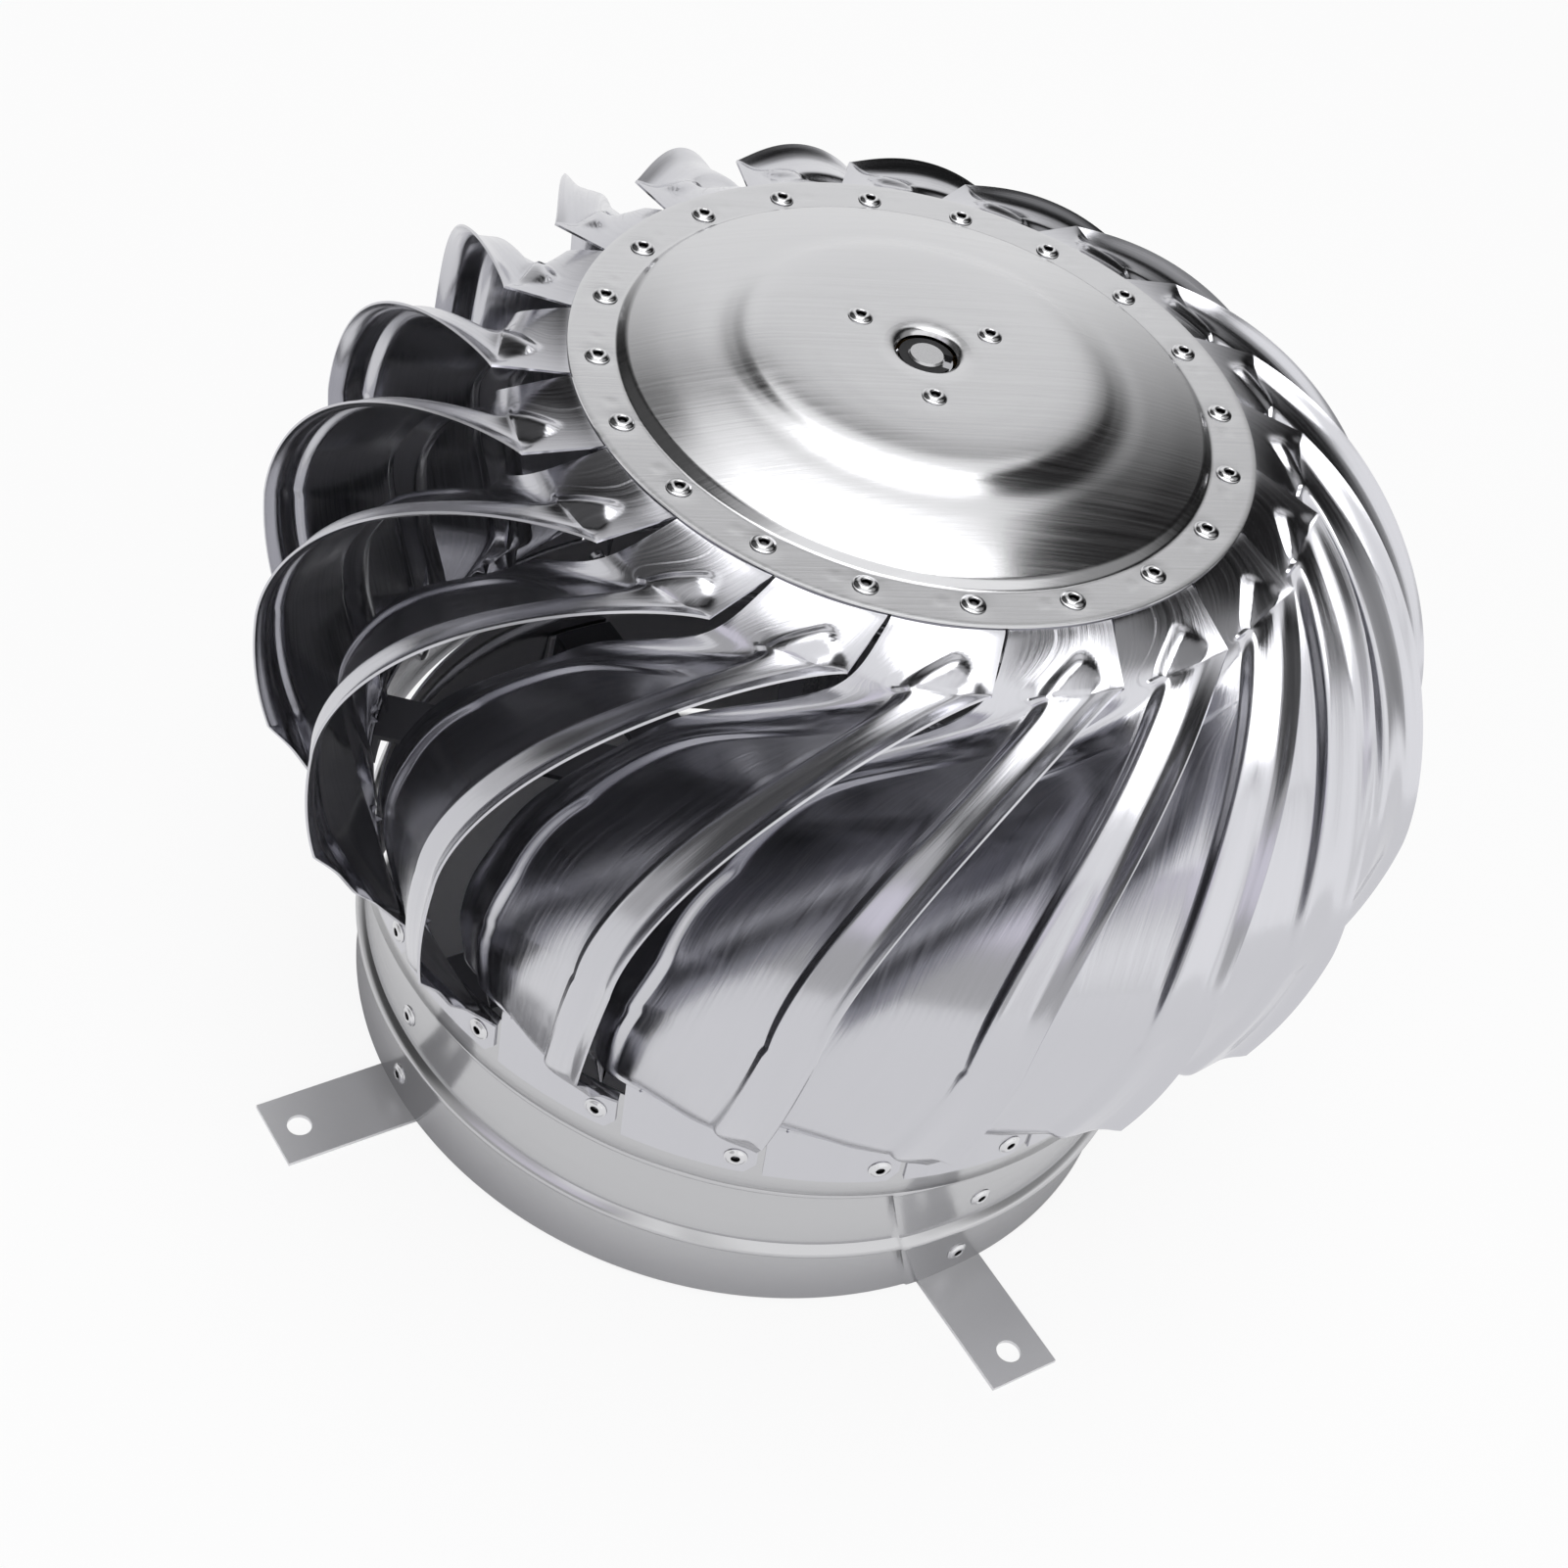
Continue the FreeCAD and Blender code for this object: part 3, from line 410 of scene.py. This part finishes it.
def across_stops(width, outer_slant, inner_slant):
    """Places across the strip, close together on the two beads, each with its distance from its own edge.

    A bead's width is square to its edge, so it is longer across a strip that crosses the edge at a slant.
    """
    line = [place for place, rise in BEAD_LINE]
    left = [(place / outer_slant, place, FAR) for place in line]
    room = width - left[-1][0] - 1
    stretch = min(1 / inner_slant, room / line[-1])
    right = [(width - place * stretch, FAR, place) for place in reversed(line)]
    gap = right[0][0] - left[-1][0]
    middle = [(left[-1][0] + gap * step / FACE_STEPS, FAR, FAR) for step in range(1, FACE_STEPS)]
    return left + middle + right


TAB_RADII = (VANE_TAB_R, 101.0, 104.0, 107.0, 109.0, 110.5, 111.6)
TAB_STEPS = 24              # cross lines between the cap's edge and the top fold
CLOSE_STEPS = 32            # cross lines close together below the fold, and the share of the length they take
CLOSE_SHARE = 0.16
WIDE_STEPS = 70
WIDEN_UNTIL = 0.12          # share of the length at which the sheet beyond the inner line has its full width
INNER_BEAD_RISES = 0.16     # share of the length over which the inner bead rises from there
BEND_ABOVE = 20             # cross lines that the top fold's bend takes above and below it
BEND_BELOW = 30


def vane_rows():
    """Cross lines of a vane, from under the cap to the last one above its foot, and the fold's number.

    Each has its outer end, its inner end and the inner bead's share of its full height.
    """
    tab_z = CAP_FLANGE_Z - CAP_SHEET - VANE_SHEET / 2 - 0.05
    right = VANE_TAB_HALF - VANE_TAB_BACK
    left = -VANE_TAB_HALF - VANE_TAB_BACK
    rows = [(polar(radius, right, tab_z), polar(radius, left, tab_z), 0.0) for radius in TAB_RADII]
    knee = (polar(CAP_R, right, tab_z), polar(CAP_R, left, tab_z))
    top = (polar(*OUTER_TOP), polar(*INNER_LINE[0]))
    for step in range(TAB_STEPS):
        rows.append((knee[0].lerp(top[0], step / TAB_STEPS), knee[1].lerp(top[1], step / TAB_STEPS), 0.0))
    fold = len(rows)
    beside = BEAD_SECTION[-1][0] * MM
    close = [CLOSE_SHARE * step / CLOSE_STEPS for step in range(CLOSE_STEPS)]
    wide = [CLOSE_SHARE + (1 - CLOSE_SHARE) * step / WIDE_STEPS for step in range(WIDE_STEPS + 1)]
    for along in close + wide:
        outer = polar(*outer_line(along))
        inner = polar(*inner_line(along))
        beyond = beside * ease(along / WIDEN_UNTIL)
        bead_share = ease((along - WIDEN_UNTIL) / INNER_BEAD_RISES)
        rows.append((outer, inner + (inner - outer).normalized() * beyond, bead_share))

    # The knee at the cap and the top fold are bent, not creased. At the fold the edge keeps its corner.
    knee_bend = (3, 12, 4, False)
    fold_bend = (fold - BEND_ABOVE, fold + BEND_BELOW, 110, True)
    for first, last, turns, keep in (knee_bend, fold_bend):
        for _ in range(turns):
            bent = list(rows)
            for index in range(first, last):
                before, here, after = rows[index - 1], rows[index], rows[index + 1]
                outer = here[0] if keep else (before[0] + 2 * here[0] + after[0]) / 4
                bent[index] = (outer, (before[1] + 2 * here[1] + after[1]) / 4, here[2])
            rows = bent
    return rows, fold


def slant(across, before, after):
    """Sine of the angle between a cross line and the edge that runs past it."""
    return across.cross(after - before).length / (after - before).length


def row_normals(rows, fold):
    """The way in which the beads rise at each cross line, turning slowly through the fold's bend."""
    normals = []
    for index, (outer, inner, bead) in enumerate(rows):
        before = rows[max(index - 1, 0)]
        after = rows[min(index + 1, len(rows) - 1)]
        run = (after[0] + after[1]) - (before[0] + before[1])
        normals.append((inner - outer).cross(run).normalized())
    for _ in range(90):
        middle = [(a + b * 2 + c).normalized() for a, b, c in zip(normals, normals[1:], normals[2:])]
        normals[fold - BEND_ABOVE:fold + BEND_BELOW] = middle[fold - BEND_ABOVE - 1:fold + BEND_BELOW - 1]
    return normals


def strip_grid(rows, fold):
    """Points of the strip, row by row, and what its last row needs for the foot."""
    corner = rows[fold][0]
    along_edge = (rows[fold + 4][0] - corner).normalized()
    normals = row_normals(rows, fold)
    grid = []
    for index, (outer, inner, inner_share) in enumerate(rows):
        normal = normals[index]
        across = inner - outer
        width = across.length / MM
        across.normalize()
        start = rows[max(index - 1, fold)]
        end = rows[min(max(index + 1, fold + 1), len(rows) - 1)]
        blend = ease((index - fold + BEND_ABOVE) / BEND_ABOVE)
        slants = [1 + (slant(across, start[side], end[side]) - 1) * blend for side in (0, 1)]
        line = []
        stops = across_stops(width, *slants)
        for stop, from_outer, from_inner in stops:
            place = outer + across * stop * MM
            past_end = (place - corner).dot(along_edge) / MM
            if index < fold:
                aside = place - corner - along_edge * past_end * MM
                from_outer = aside.length / MM
            outer_share = ease(past_end / BEAD_END_SLOPE + 0.1)
            rise = bead_rise(from_outer) * outer_share + bead_rise(from_inner) * inner_share
            line.append(place + normal * rise * BEAD_HIGH * MM)
        grid.append(line)
    return grid, outer, across, normal, stops


def ring_line(start, end, share, tab_r, height=None):
    """Point on the skirt ring between two (sweep, height) places."""
    sweep = start[0] + (end[0] - start[0]) * share
    return polar(tab_r, sweep, start[1] + (end[1] - start[1]) * share if height is None else height)


def vane_mesh():
    """One vane: tab under the cap, curved strip with its beads, cut corner and foot tab."""
    rows, fold = vane_rows()
    grid, outer, across, normal, stops = strip_grid(rows, fold)
    places = [stop for stop, from_outer, from_inner in stops]
    columns = len(places)
    tab_r = SKIRT_R + 0.1 + VANE_SHEET / 2
    corner = polar(tab_r, *FOLD_RIGHT)
    corner_stop = (corner - outer).dot(across) / MM
    split = min(range(columns), key=lambda number: abs(places[number] - corner_stop))
    shares = [(place - places[split]) / (places[-1] - places[split]) for place in places]

    # Below its last cross line the strip runs on to a cut edge on the right and to the fold on the left.
    ends = []
    for number, (place, from_outer, from_inner) in enumerate(stops):
        if number <= split:
            rise = bead_rise(from_outer)
            ends.append(outer.lerp(corner, place / places[split]) + normal * rise * BEAD_HIGH * MM)
        else:
            ends.append(ring_line(FOLD_RIGHT, FOLD_LEFT, shares[number], tab_r))
    last = grid[-1]
    leads = [(grid[-1][number] - grid[-3][number]).normalized() for number in range(columns)]
    below = 14
    for step in range(1, below + 1):
        t = step / below
        line = []
        for start, end, lead in zip(last, ends, leads):
            straight = end - start
            bend_in = lead * straight.length * (t ** 3 - 2 * t ** 2 + t)
            bend_out = straight * (t ** 3 - t ** 2)
            middle = start * (2 * t ** 3 - 3 * t ** 2 + 1) + end * (3 * t ** 2 - 2 * t ** 3)
            line.append(middle + bend_in + bend_out)
        grid.append(line)

    rounding = 5.0
    tab_rows = []
    for t in (0.03, 0.15, 0.35, 0.55, 0.75, 0.9, 1.0):
        line = []
        for share in shares[split:]:
            fold = ring_line(FOLD_RIGHT, FOLD_LEFT, share, tab_r)
            from_right = math.radians(FOOT_RIGHT[0] - FOOT_LEFT[0]) * share * SKIRT_R
            gap = max(0.0, rounding - from_right)
            foot_z = FOOT_RIGHT[1] + rounding - math.sqrt(rounding ** 2 - gap ** 2)
            line.append(fold.lerp(ring_line(FOOT_RIGHT, FOOT_LEFT, share, tab_r, foot_z), t))
        tab_rows.append(line)

    sheet = bmesh.new()
    layer = sheet.loops.layers.uv.new("grain")
    lengths = [0.0]
    for before, after in zip(grid, grid[1:]):
        lengths.append(lengths[-1] + (after[columns // 2] - before[columns // 2]).length)
    verts = [[sheet.verts.new(point) for point in line] for line in grid]
    tab_verts = [[sheet.verts.new(point) for point in line] for line in tab_rows]

    def quads(upper, lower, first, high, low):
        for number in range(len(upper) - 1):
            left, right = places[first + number] * MM, places[first + number + 1] * MM
            face = sheet.faces.new((upper[number], lower[number], lower[number + 1], upper[number + 1]))
            for loop, mark in zip(face.loops, ((left, high), (left, low), (right, low), (right, high))):
                loop[layer].uv = mark

    for index in range(len(grid) - 1):
        quads(verts[index], verts[index + 1], 0, lengths[index], lengths[index + 1])
    upper = verts[-1][split:]
    for step, line in enumerate(tab_verts):
        quads(upper, line, split, lengths[-1] + 0.004 * step, lengths[-1] + 0.004 * (step + 1))
        upper = line
    bmesh.ops.remove_doubles(sheet, verts=sheet.verts, dist=1e-6)
    bmesh.ops.dissolve_degenerate(sheet, edges=sheet.edges, dist=1e-7)
    bmesh.ops.recalc_face_normals(sheet, faces=sheet.faces)
    mesh = bpy.data.meshes.new("vane_sheet")
    sheet.to_mesh(mesh)
    sheet.free()

    blank = bpy.data.objects.new("vane_blank", mesh)
    bpy.context.scene.collection.objects.link(blank)
    solid = blank.modifiers.new("Thickness", "SOLIDIFY")
    solid.thickness = VANE_SHEET * MM
    solid.offset = 0.0
    solid.use_even_offset = True
    made = bpy.data.meshes.new_from_object(blank.evaluated_get(bpy.context.evaluated_depsgraph_get()))
    bpy.data.objects.remove(blank)
    return made


def vanes():
    pattern = vane_mesh()
    for count in range(VANE_COUNT):
        mesh = pattern.copy()
        mesh.transform(Matrix.Rotation(math.radians(VANE_AZIMUTH + PITCH * count), 4, "Z"))
        thing = finish_mesh("turbine_vane_%02d" % (count + 1), "rotor", mesh, VANE, 32)
        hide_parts("vane_%02d" % (count + 1))


# Cap and rings

DOT_BACK = 4.87
DOT_R = 0.9
DOT_DEEP = 0.25


def rivet_dishes(radius, angle, height):
    """The sheet is drawn down a little round each rivet."""
    for rivet_r, count, first, reach, depth in ((VANE_RIVET_R, VANE_COUNT, VANE_AZIMUTH, 8.0, 0.24),
                                                (HUB_RIVET_R, 3, HUB_AZIMUTH, 6.5, 0.16)):
        pitch = 360 / count
        off = (angle - first + pitch / 2) % pitch - pitch / 2
        away = math.hypot(radius - rivet_r, math.radians(off) * rivet_r)
        if away < reach:
            height -= depth * (0.5 + 0.5 * math.cos(math.pi * away / reach))
    # A small dot is pressed into the flange beside each rivet.
    off = (angle - VANE_AZIMUTH + DOT_BACK + PITCH / 2) % PITCH - PITCH / 2
    if math.hypot(radius - VANE_RIVET_R, math.radians(off) * VANE_RIVET_R) < DOT_R:
        height -= DOT_DEEP
    return radius, angle, height


def top_cap():
    """Flange, fold, low dome, step, plateau and dimpled hole, seen from the rim inwards."""
    dome = smooth_line([(94.4, 296.1), (84.0, 299.3), (74.0, 301.9), (67.0, 303.4), (62.5, 304.8),
                        (58.0, 306.45), (53.0, 307.45), (46.0, 307.95), (38.0, 308.15), (34.0, CAP_TOP_Z)], 7)
    rim = smooth_line([(14.5, CAP_TOP_Z), (12.4, CAP_TOP_Z - 0.35), (11.0, CAP_TOP_Z - 0.95),
                       (CAP_HOLE_R, CAP_TOP_Z - 2.1)], 5)
    line = [(CAP_R, CAP_FLANGE_Z - 0.6), (CAP_R - 0.15, CAP_FLANGE_Z - 0.1), (CAP_R - 0.7, CAP_FLANGE_Z)]
    flange = (110.4, 108.6, 106.8, 105.0, VANE_RIVET_R, 101.4, 99.6, 98.3, 97.6)
    line += [(radius, CAP_FLANGE_Z) for radius in flange]
    line += [(97.0, CAP_FLANGE_Z + 0.15), (96.6, CAP_FLANGE_Z + 0.45), (95.0, CAP_FLANGE_Z + 1.9)]
    plateau = (31.0, 28.0, 26.0, HUB_RIVET_R, 23.0, 21.0, 18.0)
    line += dome + [(radius, CAP_TOP_Z) for radius in plateau] + rim
    mesh = lathe("top_cap_sheet", thicken(line, -CAP_SHEET), evenly(360), rivet_dishes)
    lay_grain(mesh, straight_grain)
    thing = finish_mesh("pressed_top_cap", "rotor", mesh, CAP, 45)
    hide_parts("top_cap")


def bead(radius, middle, half, proud):
    """Points over one swaged bead."""
    made = []
    for step in range(13):
        share = step / 12
        made.append((radius + proud * math.sin(math.pi * share), middle - half + 2 * half * share))
    return made


SEAM = 304.0
SEAM_MIDDLE_Z = 29.0
SEAM_SLANT = 7.6 / 58       # degrees for each millimetre of height
LAP_STEP = 0.7
LAP_SPREAD = 8.0
NECK_BEAD_HALF = 3.5
NECK_BEAD_PROUD = 3.0


def lap_seam(radius, angle, height):
    """The strip's end lies over its start at a slanting seam, and the ring eases back to its radius."""
    past = (angle - SEAM) % 360
    if 0 < past < LAP_SPREAD:
        radius += LAP_STEP * (1 - ease(past / LAP_SPREAD))
    near = min(past, 360 - past)
    slant = (SEAM_MIDDLE_Z - height) * SEAM_SLANT
    return radius, angle + slant * (1 - ease(near / 40)), height


def neck_ring():
    line = [(NECK_R, 1.5), (NECK_R, 10.0)]
    line += bead(NECK_R, 31.5, NECK_BEAD_HALF, NECK_BEAD_PROUD) + [(NECK_R, 45.0)]
    line += bead(NECK_R, 67.0, NECK_BEAD_HALF, NECK_BEAD_PROUD)
    line += [(NECK_R, 75.0), (NECK_R, 79.6), (NECK_R - 0.3, 80.0)]
    angles = [SEAM - 0.12, SEAM + 0.12] + [SEAM + 1.2 * step for step in range(1, 300)]
    mesh = lathe("neck_sheet", thicken(line, -NECK_WALL), angles, lap_seam)
    lay_grain(mesh, round_grain)
    thing = finish_mesh("rolled_neck_ring", "base", mesh, RING, 50)
    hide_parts("neck_ring")


def skirt_ring():
    line = [(SKIRT_R - 0.2, 71.5), (SKIRT_R, 71.8), (SKIRT_R, 85.0), (SKIRT_R, 99.2), (SKIRT_R - 0.2, 99.5)]
    mesh = lathe("skirt_sheet", thicken(line, -SKIRT_WALL), evenly(288))
    lay_grain(mesh, round_grain)
    thing = finish_mesh("rolled_skirt_ring", "rotor", mesh, RING, 50)
    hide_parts("skirt_ring")


# Rivets, set out by one tree for each body

EYE_R = 1.45


def rivet_head():
    """Pop rivet from its seat up: domed flange, the eye left by the mandrel, and the short set tail."""
    outline = [(0.0, -2.6), (1.2, -2.6), (EYE_R, 0.9), (1.7, 1.22), (2.2, 1.3), (2.8, 1.12), (3.3, 0.75),
               (3.6, 0.4), (4.0, 0.3), (4.1, 0.08), (4.1, 0.0), (2.4, 0.0), (2.4, -1.8), (3.2, -1.9),
               (3.2, -3.2), (2.4, -3.9), (0.0, -4.0)]
    mesh = lathe("rivet_pattern", outline, evenly(24))
    # Marks the eye's rim, walls and floor, which the rivet material paints near black as shade.
    eye = mesh.attributes.new("eye", "FLOAT", "POINT")
    for vertex, item in zip(mesh.vertices, eye.data):
        inside = math.hypot(vertex.co.x, vertex.co.y) < (EYE_R + 0.05) * MM and vertex.co.z > -3 * MM
        item.value = float(inside)
    return bpy.data.objects.new("rivet_pattern", mesh)


def place_tree(pattern, material):
    """Sets a rivet at every vertex, its head along the vertex's stored direction."""
    tree = bpy.data.node_groups.new("set_rivets", "GeometryNodeTree")
    tree.interface.new_socket("Geometry", in_out="INPUT", socket_type="NodeSocketGeometry")
    size = tree.interface.new_socket("Rivet size", in_out="INPUT", socket_type="NodeSocketFloat")
    tree.interface.new_socket("Geometry", in_out="OUTPUT", socket_type="NodeSocketGeometry")
    start = add(tree, "NodeGroupInput")
    way = add(tree, "GeometryNodeInputNamedAttribute", {"data_type": "FLOAT_VECTOR"}, Name="way")
    turn = add(tree, "FunctionNodeAlignRotationToVector", {"axis": "Z"}, Vector=way.outputs[0])
    shape = add(tree, "GeometryNodeObjectInfo", Object=pattern)
    put = add(tree, "GeometryNodeInstanceOnPoints", Points=start.outputs[0],
              Instance=shape.outputs["Geometry"], Rotation=turn.outputs[0], Scale=start.outputs["Rivet size"])
    real = add(tree, "GeometryNodeRealizeInstances", Geometry=put.outputs[0])
    coat = add(tree, "GeometryNodeSetMaterial", Geometry=real.outputs[0], Material=material)
    end = add(tree, "NodeGroupOutput")
    tree.links.new(coat.outputs[0], end.inputs[0])
    return tree, size.identifier


def rivets(name, body, seats, replaced, tree, size_input):
    """One piece for all rivets of a body. A seat is a point and the way that the head points."""
    mesh = bpy.data.meshes.new(name + "_seats")
    mesh.from_pydata([tuple(point) for point, way in seats], [], [])
    stored = mesh.attributes.new("way", "FLOAT_VECTOR", "POINT")
    for item, (point, way) in zip(stored.data, seats):
        item.vector = way
    holder = bpy.data.objects.new(name + "_seats", mesh)
    bpy.context.scene.collection.objects.link(holder)
    step = holder.modifiers.new("Set rivets", "NODES")
    step.node_group = tree
    step[size_input] = 1.0
    made = bpy.data.meshes.new_from_object(holder.evaluated_get(bpy.context.evaluated_depsgraph_get()))
    bpy.data.objects.remove(holder)
    thing = finish_mesh(name, body, made, RIVET, 45)
    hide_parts(*replaced)


def all_rivets():
    pattern = rivet_head()
    tree, size_input = place_tree(pattern, RIVET)
    up = Vector((0, 0, 1))
    seats = []
    for count in range(VANE_COUNT):
        turn = VANE_AZIMUTH + PITCH * count
        seats.append((polar(VANE_RIVET_R, turn, CAP_FLANGE_Z), up))
        foot = turn - FOOT_SWEEP
        seats.append((polar(SKIRT_R + VANE_SHEET + 0.15, foot, FOOT_RIVET_Z), polar(1000, foot, 0)))
    for count in range(3):
        turn = HUB_AZIMUTH + 120 * count
        seats.append((polar(HUB_RIVET_R, turn, CAP_TOP_Z), up))
        seats.append((polar(HUB_RIVET_R, turn, 98.0), up))
    rivets("rotor_pop_rivets", "rotor", seats,
           ("cap_rivets", "skirt_rivets", "upper_hub_rivets", "lower_hub_rivets"), tree, size_input)
    seats = []
    for count in range(4):
        turn = 45 + 90 * count
        for height in (12.3, 45.9):
            seats.append((polar(NECK_R, turn, height), polar(1000, turn, 0)))
    rivets("foot_pop_rivets", "base", seats,
           ("bracket_rivets_low", "bracket_rivets_high"), tree, size_input)
    bpy.data.objects.remove(pattern)


# Carried-over nodes

def dress_nodes():
    finishes = {
        STRIP: ["mounting_bracket_%d" % number for number in range(1, 5)],
        # The parts inside the rotor take the strip grey that is darkened as painted shade.
        INNER: ["cross_bar_low", "cross_bar_high", "spider", "upper_housing", "lower_housing"],
        TURNED: ["shaft", "shaft_nuts", "shaft_washers", "lower_spacer", "upper_spacer"],
        GROUND: ["lower_inner_race", "lower_outer_race", "upper_inner_race", "upper_outer_race",
                 "lower_balls", "upper_balls"],
        BRASS: ["lower_cage", "upper_cage"],
        SPRING: ["upper_housing_clip", "lower_housing_clip", "shaft_clip"],
    }
    for material, names in finishes.items():
        for name in names:
            mesh = NODES[name].data
            mesh.materials.clear()
            mesh.materials.append(material)


# Studio

def floor():
    """Pale floor: white to the camera and in the metal, with a soft shadow, and plain inside the neck.

    Close to the neck the metal mirrors the real, shaded floor.
    """
    made, tree, shader = new_material("pale_studio_floor", "#F4F4F5", 0.0, 0.6)
    light = add(tree, "ShaderNodeLightPath")
    place = add(tree, "ShaderNodeTexCoord")
    away = add(tree, "ShaderNodeVectorMath", {"operation": "LENGTH"}, in0=place.outputs["Object"])
    mirrored = add(tree, "ShaderNodeMath", {"operation": "MAXIMUM"}, in0=light.outputs["Is Glossy Ray"],
                   in1=light.outputs["Is Transmission Ray"])
    near = add(tree, "ShaderNodeMapRange", Value=away.outputs["Value"], From_Min=0.155, From_Max=0.180,
               To_Min=0.0, To_Max=0.85)
    mirrored = add(tree, "ShaderNodeMath", {"operation": "MULTIPLY"}, in0=mirrored.outputs[0],
                   in1=near.outputs[0])
    seen = add(tree, "ShaderNodeMath", {"operation": "MAXIMUM"}, in0=light.outputs["Is Camera Ray"],
               in1=mirrored.outputs[0])
    outside = add(tree, "ShaderNodeMapRange", Value=away.outputs["Value"], From_Min=0.146, From_Max=0.149,
                  To_Min=0.0, To_Max=0.9)
    share = add(tree, "ShaderNodeMath", {"operation": "MULTIPLY"}, in0=seen.outputs[0],
                in1=outside.outputs[0])
    glow = add(tree, "ShaderNodeEmission", Color=(1, 1, 1, 1), Strength=1.0)
    mixed = add(tree, "ShaderNodeMixShader", in0=share.outputs[0], in1=shader.outputs[0],
                in2=glow.outputs[0])
    tree.links.new(mixed.outputs[0], tree.nodes["Material Output"].inputs[0])
    mesh = bpy.data.meshes.new("studio_floor")
    reach = 8.0
    mesh.from_pydata([(-reach, -reach, 0), (reach, -reach, 0), (reach, reach, 0), (-reach, reach, 0)], [],
                     [(0, 1, 2, 3)])
    mesh.materials.append(made)
    thing = bpy.data.objects.new("studio_floor", mesh)
    thing.location.z = -0.0005
    bpy.context.scene.collection.objects.link(thing)


def panel(value, low, high, soft):
    """1 between two edges, falling to 0 beyond them."""
    return ease((value - low) / soft + 0.5) * (1 - ease((value - high) / soft + 0.5))


def tent_light(azimuth, elevation):
    """Brightness and lilac share of the light tent in a direction, in degrees."""
    x = math.cos(math.radians(azimuth)) * math.cos(math.radians(elevation))
    y = math.sin(math.radians(azimuth)) * math.cos(math.radians(elevation))
    back = 0.94 * panel(azimuth, 72, 127, 32) * (1 - 0.65 * ease((elevation - 42) / 6))
    right = panel((azimuth + 120) % 360, 18, 145, 24) * (0.85 + 0.3 * ease((azimuth - 275) % 360 / 20)) * (
        1 - 0.7 * panel((azimuth + 120) % 360, 108, 160, 16) * ease((elevation - 8) / 12)) * (
        1 - ease((elevation - 62) / 10))
    window = panel(azimuth, 216, 258, 10) * panel(elevation, 24, 46, 9)
    left = panel(azimuth, 152, 206, 14) * (0.08 + 0.6 * panel(elevation, -20, 15, 10))
    low = 0.55 * panel(azimuth, 204, 262, 16)
    overhead = 1.1 * panel(x, -0.38, 0.24, 0.07) * panel(y - 0.19 * x, -0.62, 0.58, 0.05)
    return max(back, right, left, low, 0.95 * window, overhead, 0.01), window


def light_tent():
    """Cloth tent over the object with bright and dark panels, as a studio uses for polished metal."""
    radius = 3.0
    columns = 180
    shape = bmesh.new()
    glow = shape.verts.layers.float_color.new("glow")
    rings = []
    for row in range(61):
        elevation = 90 * row / 61
        ring = []
        for column in range(columns):
            azimuth = 360 * column / columns
            place = polar(1000 * radius * math.cos(math.radians(elevation)), azimuth,
                          1000 * radius * math.sin(math.radians(elevation)))
            vertex = shape.verts.new(place)
            light, lilac = tent_light(azimuth, elevation)
            vertex[glow] = (light * (1 - 0.06 * lilac), light * (1 - 0.09 * lilac), light, 1.0)
            ring.append(vertex)
        rings.append(ring)
    for lower, upper in zip(rings, rings[1:]):
        for column in range(columns):
            after = (column + 1) % columns
            shape.faces.new((lower[column], upper[column], upper[after], lower[after]))
    shape.faces.new(rings[-1])
    mesh = bpy.data.meshes.new("light_tent")
    shape.to_mesh(mesh)
    shape.free()
    made, tree, shader = new_material("tent_cloth", "#FFFFFF", 0.0, 1.0)
    stored = add(tree, "ShaderNodeVertexColor", {"layer_name": "glow"})
    glowing = add(tree, "ShaderNodeEmission", Color=stored.outputs[0], Strength=1.0)
    tree.links.new(glowing.outputs[0], tree.nodes["Material Output"].inputs[0])
    tree.nodes.remove(shader)
    mesh.materials.append(made)
    thing = bpy.data.objects.new("light_tent", mesh)
    thing.visible_camera = False
    thing.visible_shadow = False
    bpy.context.scene.collection.objects.link(thing)


def world():
    made = bpy.data.worlds.new("studio")
    bpy.context.scene.world = made
    made.use_nodes = True
    back = made.node_tree.nodes["Background"]
    back.inputs["Color"].default_value = (1, 1, 1, 1)
    back.inputs["Strength"].default_value = 1.0


def softbox(name, place, aim, size, power):
    lamp = bpy.data.lights.new(name, "AREA")
    lamp.shape = "SQUARE"
    lamp.size = size
    lamp.energy = power
    thing = bpy.data.objects.new(name, lamp)
    thing.location = place
    thing.rotation_euler = (Vector(aim) - Vector(place)).to_track_quat("-Z", "Y").to_euler()
    bpy.context.scene.collection.objects.link(thing)


def camera():
    """Camera solved from the photograph: the ring of rivets, the neck's beads and the cap."""
    lens = bpy.data.cameras.new("photo_camera")
    lens.sensor_width = 36.0
    lens.lens = 61.31
    lens.clip_start = 0.05
    lens.clip_end = 60.0
    elevation = math.radians(43.897)
    roll = math.radians(16.540)
    turn = Matrix.Rotation(math.radians(1.4), 4, "Z")
    distance = 1.05302
    aside = 0.017455
    above = 0.074937
    back = Vector((0, -math.cos(elevation), math.sin(elevation)))
    right = Vector((1, 0, 0))
    up = back.cross(right)
    tilted_right = right * math.cos(roll) + up * math.sin(roll)
    tilted_up = up * math.cos(roll) - right * math.sin(roll)
    place = back * distance + tilted_right * aside + tilted_up * above + Vector((0, 0, 0.0015))
    frame_matrix = Matrix((tilted_right, tilted_up, back)).transposed().to_4x4()
    frame_matrix.translation = place
    thing = bpy.data.objects.new("photo_camera", lens)
    thing.matrix_world = turn @ frame_matrix
    bpy.context.scene.collection.objects.link(thing)
    bpy.context.scene.camera = thing


vanes()
top_cap()
neck_ring()
skirt_ring()
all_rivets()
dress_nodes()

world()
floor()
light_tent()
softbox("overhead_box", (0.0, 0.1, 2.6), (0.0, 0.0, 0.2), 1.5, 14)
camera()
bpy.context.scene.view_settings.view_transform = "Standard"
